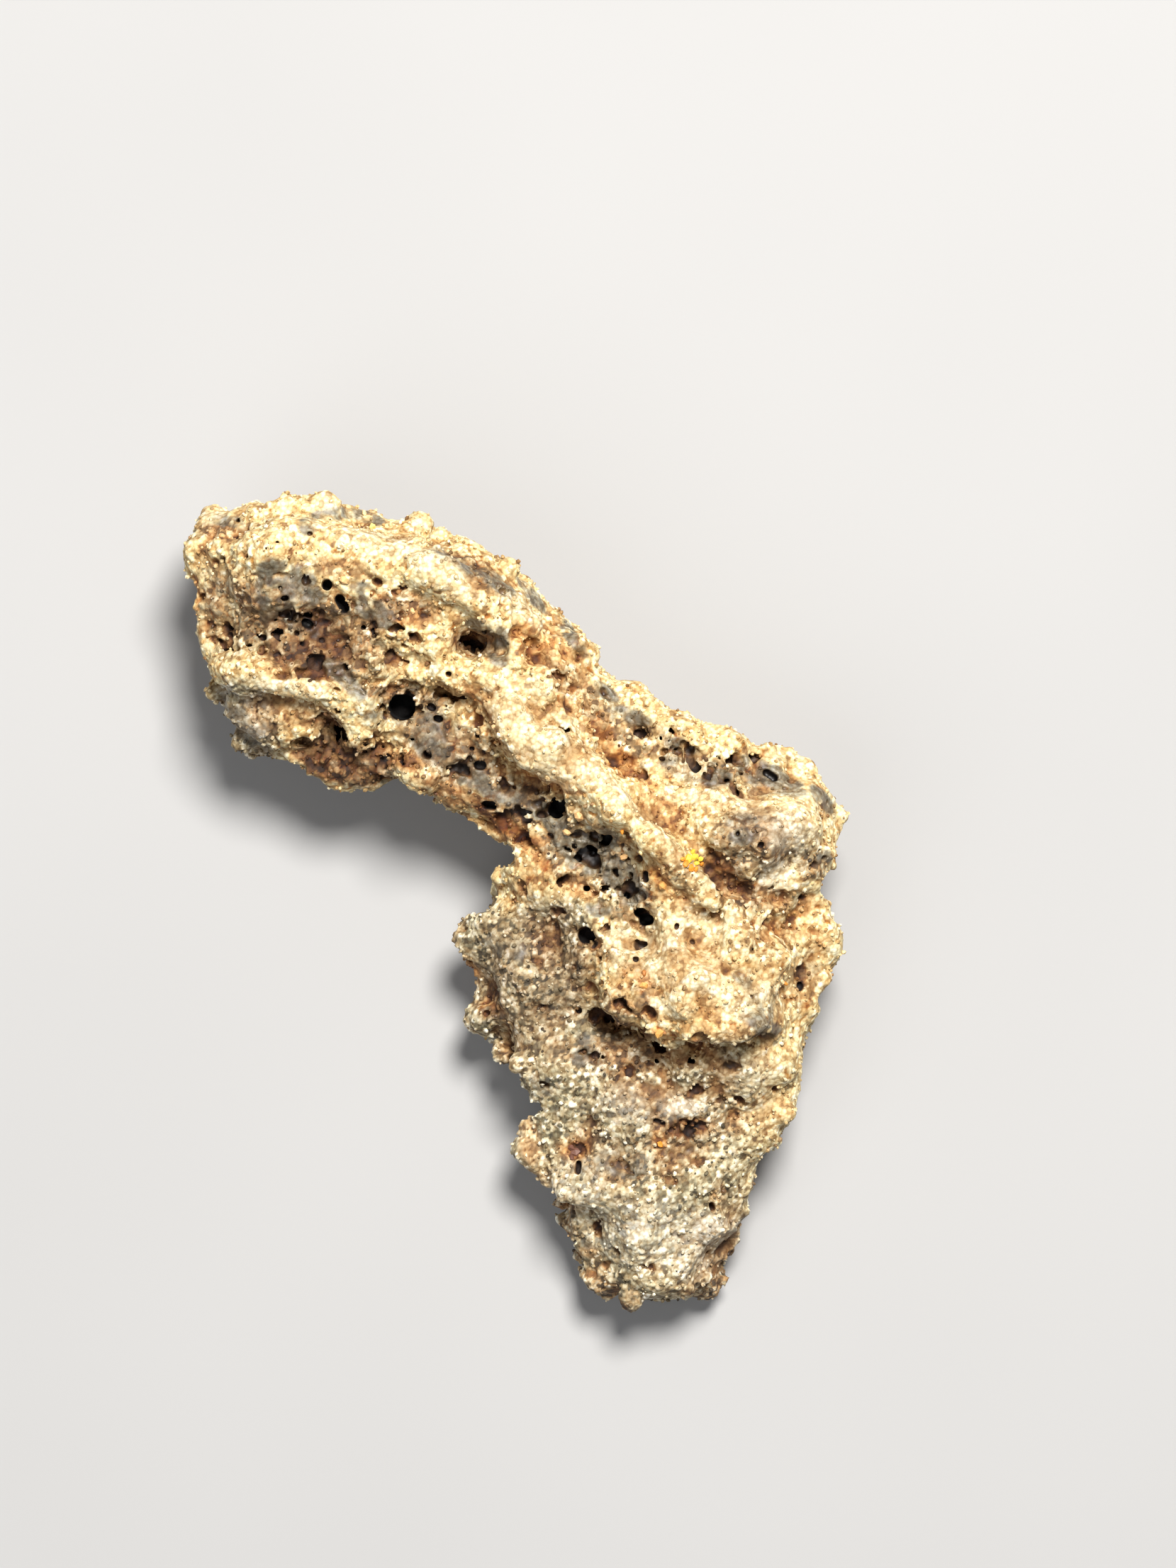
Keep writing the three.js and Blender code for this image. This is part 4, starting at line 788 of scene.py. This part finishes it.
def new_piece(name, points, faces, smooth):
    """A visible piece from points in mm and faces that all have the same number of sides."""
    sides = faces.shape[1]
    mesh = bpy.data.meshes.new(name)
    mesh.vertices.add(len(points))
    mesh.vertices.foreach_set("co", (points * MM).astype(np.float32).ravel())
    mesh.loops.add(faces.size)
    mesh.loops.foreach_set("vertex_index", faces.astype(np.int32).ravel())
    mesh.polygons.add(len(faces))
    mesh.polygons.foreach_set("loop_start", np.arange(0, faces.size, sides, dtype=np.int32))
    mesh.polygons.foreach_set("use_smooth", np.full(len(faces), smooth))
    mesh.update(calc_edges=True)
    piece = bpy.data.objects.new(name, mesh)
    bpy.context.scene.collection.objects.link(piece)
    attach(piece, "root")
    return piece


def dress(piece, values, map_places):
    """Gives a piece a number at each point under each name, and its corners' places in its map."""
    for name, numbers in values.items():
        attribute = piece.data.attributes.new(name, "FLOAT", "POINT")
        attribute.data.foreach_set("value", numbers.astype(np.float32))
    layer = piece.data.uv_layers.new(name="OFBake")
    layer.data.foreach_set("uv", map_places.astype(np.float32).ravel())


def cells_of_map(count, shape):
    """Map places that give each of count faces or grains a small cell to itself."""
    side = math.ceil(math.sqrt(count))
    cell = np.arange(count)
    corner = np.stack([cell % side, cell // side], 1)[:, None] + 0.5
    return (corner + np.array(shape)[None]) / side


def along_stone(points):
    """Distance along the stone, from the end of the arm to the tip of the blade."""
    return 0.45 * points[:, 0] - 0.89 * points[:, 1]


def make_crust():
    """The crust's pieces, which together take the CAD solid's place, and the cuts between them."""
    middles = along_stone(crust_points[crust_quads].mean(1))
    cuts = np.quantile(middles, np.linspace(0, 1, SLABS + 1))
    made = []
    for n in range(SLABS):
        inside = (middles >= cuts[n]) & ((middles < cuts[n + 1]) | (n == SLABS - 1))
        used, inverse = np.unique(crust_quads[inside], return_inverse=True)
        piece = new_piece(f"crust_{n + 1}", crust_points[used], inverse.reshape(-1, 4), True)
        square = [(-0.38, -0.38), (0.38, -0.38), (0.38, 0.38), (-0.38, 0.38)]
        own_facts = {name: numbers[used] for name, numbers in facts.items()}
        dress(piece, own_facts, cells_of_map(int(inside.sum()), square))
        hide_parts("fulgurite")
        made.append(piece)
    return made, cuts


crusts, cuts = make_crust()


# ---- loose grains ----


def icosahedron():
    """The corners, one unit from the middle, and the triangles."""
    phi = (1 + math.sqrt(5)) / 2
    corners = [(-1, phi, 0), (1, phi, 0), (-1, -phi, 0), (1, -phi, 0), (0, -1, phi), (0, 1, phi)]
    corners += [(0, -1, -phi), (0, 1, -phi), (phi, 0, -1), (phi, 0, 1), (-phi, 0, -1), (-phi, 0, 1)]
    faces = [(0, 11, 5), (0, 5, 1), (0, 1, 7), (0, 7, 10), (0, 10, 11), (1, 5, 9), (5, 11, 4), (11, 10, 2)]
    faces += [(10, 7, 6), (7, 1, 8), (3, 9, 4), (3, 4, 2), (3, 2, 6), (3, 6, 8), (3, 8, 9), (4, 9, 5)]
    faces += [(2, 4, 11), (6, 2, 10), (8, 6, 7), (9, 8, 1)]
    return np.array(corners) / math.hypot(1, phi), np.array(faces)


def random_turns(count):
    """Random rotations, as 3 by 3 matrices."""
    return np.array([Quaternion(q).normalized().to_matrix() for q in rng.standard_normal((count, 4))])


def grain_places():
    """Middles, ways out and radii of grains that lie apart on the crust; SINGLE_GRAINS come last."""
    chosen = crust_quads[rng.choice(len(crust_quads), 4 * LOOSE_GRAINS, replace=False)]
    corners = crust_points[chosen]
    centres = corners.mean(1)
    normals = np.cross(corners[:, 2] - corners[:, 0], corners[:, 3] - corners[:, 1])
    normals /= np.maximum(np.linalg.norm(normals, axis=1, keepdims=True), 1e-9)
    radii = 0.06 + 0.08 * rng.random(len(centres)) ** 2
    stays = rng.random(len(centres)) > np.maximum(0.9 * glass_at(centres), 0.6 * pale_and_lit_at(centres))
    stays &= rng.random(len(centres)) < 0.25 + 1.2 * np.abs(normals[:, 2])
    stays &= (down_bubble(centres) < 0.05) & (hollow_shade(centres) < 0.75) & (centres[:, 2] > 0.3)
    tree = KDTree(len(centres))
    for n, centre in enumerate(centres):
        tree.insert(Vector(centre), n)
    tree.balance()
    for n in range(len(centres)):
        if stays[n]:
            for _, other, _ in tree.find_range(Vector(centres[n]), radii[n] * 1.7):
                if other > n:
                    stays[other] = False
    keep = np.nonzero(stays)[0][: LOOSE_GRAINS - len(SINGLE_GRAINS)]
    singles = []
    for x, y, _, _ in SINGLE_GRAINS:
        near = np.hypot(crust_points[:, 0] - x, crust_points[:, 1] - y) < 0.16
        singles.append((x, y, crust_points[near, 2].max()))
    centres = np.concatenate([centres[keep], singles]).astype(np.float32)
    normals = np.concatenate([normals[keep], np.tile((0, 0, 1), (len(singles), 1))])
    return centres, normals, np.append(radii[keep], [radius for _, _, radius, _ in SINGLE_GRAINS])


def make_grains():
    """Uneven closed grains, each more than half sunk in the crust."""
    centres, normals, radii = grain_places()
    count = len(centres)
    own = np.zeros((count, 4))
    own[count - len(SINGLE_GRAINS) :] = [(*colour, 1) for *_, colour in SINGLE_GRAINS]
    values = dict(zip(PLACE_FACTS, place_facts(centres)), tint=rng.random(count) ** 1.3)
    # the loose grains get a little less painted shade
    values["hollow_shade"] = 0.9 * values["hollow_shade"]

    unit, faces = icosahedron()
    per = len(unit)
    shape = unit[None] * (1 + 0.20 * rng.uniform(-1, 1, (count, per, 1)))
    shape = shape * rng.uniform(0.70, 1.25, (count, 1, 3))
    shape = np.einsum("nij,npj->npi", random_turns(count), shape)
    middles = centres + normals * radii[:, None] * rng.uniform(-0.70, -0.15, (count, 1))
    co = middles[:, None] + shape * radii[:, None, None]
    co[..., 2] = np.maximum(co[..., 2], 0.0)
    made = []
    slab = np.clip(np.searchsorted(cuts, along_stone(centres)) - 1, 0, SLABS - 1)
    for n in range(SLABS):
        mine = np.nonzero(slab == n)[0]
        triangles = (faces[None] + per * np.arange(len(mine))[:, None, None]).reshape(-1, 3)
        piece = new_piece(f"loose_grains_{n + 1}", co[mine].reshape(-1, 3), triangles, False)
        corners = [(-0.3, -0.3), (0.3, -0.3), (0.0, 0.3)] * len(faces)
        own_facts = {name: np.repeat(numbers[mine], per) for name, numbers in values.items()}
        dress(piece, own_facts, cells_of_map(len(mine), corners))
        colour = piece.data.attributes.new("own_colour", "FLOAT_COLOR", "POINT")
        colour.data.foreach_set("color", np.repeat(own[mine], per, 0).astype(np.float32).ravel())
        made.append(piece)
    return made


grain_pieces = make_grains()


# ---- materials ----


class Nodes:
    """A short way to wire a node material."""

    def __init__(self, name):
        self.material = bpy.data.materials.new(name)
        self.material.use_nodes = True
        self.tree = self.material.node_tree
        self.shader = self.tree.nodes["Principled BSDF"]

    def put(self, value, socket):
        if isinstance(value, bpy.types.NodeSocket):
            self.tree.links.new(value, socket)
        elif isinstance(value, tuple) and len(socket.default_value) == 4:
            socket.default_value = (*value, 1)
        else:
            socket.default_value = value

    def add(self, kind, settings=None, **inputs):
        node = self.tree.nodes.new(kind)
        for key, value in (settings or {}).items():
            setattr(node, key, value)
        for key, value in inputs.items():
            self.put(value, node.inputs[key.replace("_", " ")])
        return node

    def noise(self, per_mm, detail=3.0, roughness=0.6):
        """Noise with that many features to the millimetre."""
        place = self.add("ShaderNodeTexCoord").outputs["Object"]
        settings = {"Scale": per_mm / MM, "Detail": detail, "Roughness": roughness}
        node = self.add("ShaderNodeTexNoise", Vector=place, **settings)
        return node.outputs["Fac"]

    def crystals(self, per_mm):
        """Small packed crystals: a random number for each, and the distance from its middle."""
        place = self.add("ShaderNodeTexCoord").outputs["Object"]
        node = self.add("ShaderNodeTexVoronoi", Vector=place, Scale=per_mm / MM)
        number = self.add("ShaderNodeSeparateColor", Color=node.outputs["Color"]).outputs[0]
        return number, node.outputs["Distance"]

    def attribute(self, name, output="Fac"):
        return self.add("ShaderNodeAttribute", {"attribute_name": name}).outputs[output]

    def ramp(self, value, *stops):
        node = self.add("ShaderNodeValToRGB")
        self.put(value, node.inputs[0])
        while len(node.color_ramp.elements) < len(stops):
            node.color_ramp.elements.new(0.5)
        for element, (position, colour) in zip(node.color_ramp.elements, stops):
            element.position, element.color = position, (*colour, 1)
        return node.outputs["Color"]

    def mix(self, factor, a, b, blend="MIX"):
        node = self.add("ShaderNodeMix", {"data_type": "RGBA", "blend_type": blend})
        for index, value in ((0, factor), (6, a), (7, b)):
            self.put(value, node.inputs[index])
        return node.outputs[2]

    def times(self, a, b):
        return self.mix(1.0, a, b, "MULTIPLY")

    def maths(self, operation, a, b=0.5):
        node = self.add("ShaderNodeMath", {"operation": operation, "use_clamp": True})
        self.put(a, node.inputs[0])
        self.put(b, node.inputs[1])
        return node.outputs[0]

    def wire(self, value, name):
        self.tree.links.new(value, self.shader.inputs[name])

    def bump(self, height, strength, distance):
        node = self.add("ShaderNodeBump", Strength=strength, Distance=distance * MM, Height=height)
        self.wire(node.outputs["Normal"], "Normal")


def grey(value):
    return (value, value, value)


# Ramps of colour, each by the grain's own number but for GREY_GLASS and the painted shade of hollows.
CREAM_SAND = (
    (0.0, (0.30, 0.17, 0.07)), (0.12, (0.63, 0.42, 0.17)), (0.40, (0.84, 0.68, 0.36)),
    (0.75, (0.92, 0.83, 0.51)), (1.0, (0.96, 0.93, 0.71)),
)
GREY_SAND = (
    (0.0, (0.075, 0.065, 0.042)), (0.20, (0.23, 0.20, 0.12)), (0.48, (0.49, 0.43, 0.27)),
    (0.76, (0.74, 0.69, 0.50)), (1.0, (0.97, 0.96, 0.85)),
)
MIXED_SAND = (
    (0.0, (0.05, 0.038, 0.026)), (0.18, (0.12, 0.080, 0.045)), (0.34, (0.27, 0.15, 0.06)),
    (0.50, (0.58, 0.36, 0.16)), (0.64, (0.27, 0.24, 0.18)), (0.80, (0.66, 0.53, 0.32)),
    (1.0, (0.95, 0.92, 0.78)),
)
TAN_SAND = (
    (0.0, (0.30, 0.115, 0.028)), (0.35, (0.56, 0.26, 0.070)), (0.70, (0.77, 0.43, 0.135)),
    (1.0, (0.90, 0.64, 0.28)),
)
# pale sand, and painted light on the crests and knobs
PALE_AND_LIT_SAND = ((0.0, (0.86, 0.74, 0.45)), (0.4, (0.94, 0.90, 0.63)), (1.0, (0.97, 0.95, 0.80)))
FINE_PALE_AND_LIT = (0.90, 0.87, 0.76)
GREY_GLASS = (
    (0.34, (0.085, 0.078, 0.062)), (0.50, (0.18, 0.165, 0.13)), (0.62, (0.30, 0.27, 0.20)),
    (0.74, (0.60, 0.50, 0.34)),
)
# the brown of stains and of painted shadow
STAIN_AND_SHADOW_BROWN = (0.34, 0.22, 0.12)
# painted shade: darker and browner in what is sunk or walled in
HOLLOW_SHADE_RAMP = ((0.16, grey(1.0)), (0.45, (0.62, 0.47, 0.32)), (0.75, (0.30, 0.19, 0.11)), (1.0, (0.12, 0.07, 0.04)))
# dark glass lining and painted shade: darker the further down a bubble
BUBBLE_LINING_AND_SHADE = ((0.08, grey(1.0)), (0.40, (0.28, 0.21, 0.15)), (0.80, (0.03, 0.020, 0.014)))
CRYSTALS_PER_MM = 4.4


def sand_colour(m):
    """Fused sand: cream where the sand is whole, tan in the grooves, grey glass in the pitted bands; painted
    shade tans and darkens the hollows.
    """
    tint, fine = m.attribute("tint"), m.attribute("fine")
    mottle = m.ramp(m.noise(0.9, 4.0, 0.65), (0.30, grey(0.45)), (0.62, grey(1.0)))
    colour = m.mix(fine, m.ramp(tint, *CREAM_SAND), m.ramp(tint, *GREY_SAND))
    # painted shade also turns the hollows tan
    warm = m.maths("ADD", m.attribute("warm"), m.maths("MULTIPLY", m.attribute("hollow_shade"), 0.7))
    colour = m.mix(m.times(mottle, warm), colour, m.ramp(tint, *TAN_SAND))
    colour = m.mix(m.maths("MULTIPLY", m.attribute("mottled"), 0.85), colour, m.ramp(tint, *MIXED_SAND))
    colour = m.mix(m.attribute("glass"), colour, m.ramp(m.noise(1.7, 4.0, 0.7), *GREY_GLASS))
    # brown stain and painted shadow
    colour = m.times(colour, m.mix(m.attribute("brown_and_shadow"), grey(1.0), STAIN_AND_SHADOW_BROWN))
    # pale sand and painted light on the crests and knobs
    pale_and_lit = m.mix(fine, m.ramp(tint, *PALE_AND_LIT_SAND), FINE_PALE_AND_LIT)
    colour = m.mix(m.maths("MULTIPLY", m.attribute("pale_and_lit"), 0.8), colour, pale_and_lit)
    # painted shade at the crystals' edges and in what is sunk or walled in
    return m.times(m.times(colour, crystal_shades(m)), m.ramp(m.attribute("hollow_shade"), *HOLLOW_SHADE_RAMP))


def crystal_shades(m):
    """What the sand's colour is multiplied by: soft specks, and small crystals with painted shade at their
    edges.
    """
    specks = m.ramp(m.noise(4.5, 2.0, 0.6), (0.25, grey(0.66)), (0.58, grey(1.0)))
    number, edge = m.crystals(CRYSTALS_PER_MM)
    own = m.ramp(number, (0.10, (0.60, 0.52, 0.42)), (0.36, (0.95, 0.93, 0.90)), (0.75, grey(1.0)))
    # painted shade at the crystals' edges
    edge_shade = m.ramp(edge, (0.36, grey(1.0)), (0.72, (0.74, 0.65, 0.54)))
    return m.times(m.times(specks, own), edge_shade)


def crust_material():
    m = Nodes("fused_crust")
    colour = sand_colour(m)
    # painted shade in the seams between grains, tinted brown
    seam_shade_colour = m.mix(m.attribute("fine"), (0.60, 0.34, 0.12), (0.40, 0.30, 0.18))
    seam_shade = m.ramp(m.attribute("seam"), (0.18, grey(0.0)), (0.75, grey(1.0)))
    seam_shade = m.mix(m.attribute("pale_and_lit"), seam_shade, grey(0.15))
    colour = m.mix(seam_shade, colour, m.times(colour, seam_shade_colour))
    # dark lining and painted shade down the bubbles
    m.wire(m.times(colour, m.ramp(m.attribute("bubble"), *BUBBLE_LINING_AND_SHADE)), "Base Color")
    m.wire(m.maths("SUBTRACT", 0.80, m.maths("MULTIPLY", m.attribute("glass"), 0.34)), "Roughness")
    grainy = m.ramp(m.attribute("glass"), (0.2, grey(1.0)), (0.8, grey(0.2)))
    domes = m.ramp(m.crystals(CRYSTALS_PER_MM)[1], (0.0, grey(1.0)), (0.8, grey(0.0)))
    m.bump(m.times(domes, grainy), 0.45, 0.06)
    return m.material


def grain_material():
    """Loose grains: of the sand's colours, but for the few that have their own."""
    m = Nodes("quartz_grains")
    own = m.attribute("own_colour", "Color")
    is_own = m.attribute("own_colour", "Alpha")
    clouded = m.ramp(m.noise(3.0, 2.0), (0.30, (0.70, 0.64, 0.56)), (0.62, grey(1.0)))
    m.wire(m.mix(is_own, sand_colour(m), m.times(own, clouded)), "Base Color")
    m.shader.inputs["Roughness"].default_value = 0.60
    return m.material


crust_look, grain_look = crust_material(), grain_material()
for piece in crusts:
    piece.data.materials.append(crust_look)
for piece in grain_pieces:
    piece.data.materials.append(grain_look)


# ---- studio ----

VIEW_HEIGHT = 0.0796  # what the picture's height takes in at the stone, in metres
DISTANCE = 0.45
VIEW_CENTRE = (0.00378, 0.00603)
STONE_LEVEL = 0.007
STONE_MIDDLE = Vector((0.002, 0.002, 0.005))


def make_floor():
    mesh = bpy.data.meshes.new("floor")
    mesh.from_pydata([(-1.5, -1.5, 0), (1.5, -1.5, 0), (1.5, 1.5, 0), (-1.5, 1.5, 0)], [], [(0, 1, 2, 3)])
    plane = bpy.data.objects.new("floor", mesh)
    plane.location.z = -0.00002
    bpy.context.scene.collection.objects.link(plane)
    m = Nodes("floor_paper")
    m.wire(m.ramp(m.noise(0.02, 2.0), (0.3, grey(0.37)), (0.7, grey(0.39))), "Base Color")
    m.shader.inputs["Roughness"].default_value = 0.9
    mesh.materials.append(m.material)


def area_light(name, place, size, power, colour):
    lamp = bpy.data.lights.new(name, "AREA")
    lamp.shape, lamp.size, lamp.energy, lamp.color = "DISK", size, power, colour
    holder = bpy.data.objects.new(name, lamp)
    bpy.context.scene.collection.objects.link(holder)
    holder.location = place
    holder.rotation_euler = (STONE_MIDDLE - holder.location).to_track_quat("-Z", "Y").to_euler()


def make_camera():
    lens = bpy.data.cameras.new("camera")
    lens.sensor_fit = "VERTICAL"
    lens.sensor_height = 32.0
    lens.lens = lens.sensor_height * DISTANCE / VIEW_HEIGHT
    lens.clip_start, lens.clip_end = 0.01, 10
    holder = bpy.data.objects.new("camera", lens)
    bpy.context.scene.collection.objects.link(holder)
    holder.location = (*VIEW_CENTRE, DISTANCE + STONE_LEVEL)
    bpy.context.scene.camera = holder


def make_sky():
    world = bpy.data.worlds.new("studio")
    world.use_nodes = True
    sky = world.node_tree.nodes["Background"]
    sky.inputs["Color"].default_value = (0.92, 0.95, 1.0, 1)
    sky.inputs["Strength"].default_value = 0.16
    bpy.context.scene.world = world


make_floor()
area_light("key", (0.07, 0.19, 0.40), 0.15, 4.15, (1.0, 0.97, 0.93))
area_light("fill", (-0.22, -0.18, 0.40), 0.40, 0.65, (0.97, 0.98, 1.0))
make_sky()
bpy.context.scene.view_settings.view_transform = "Standard"
make_camera()
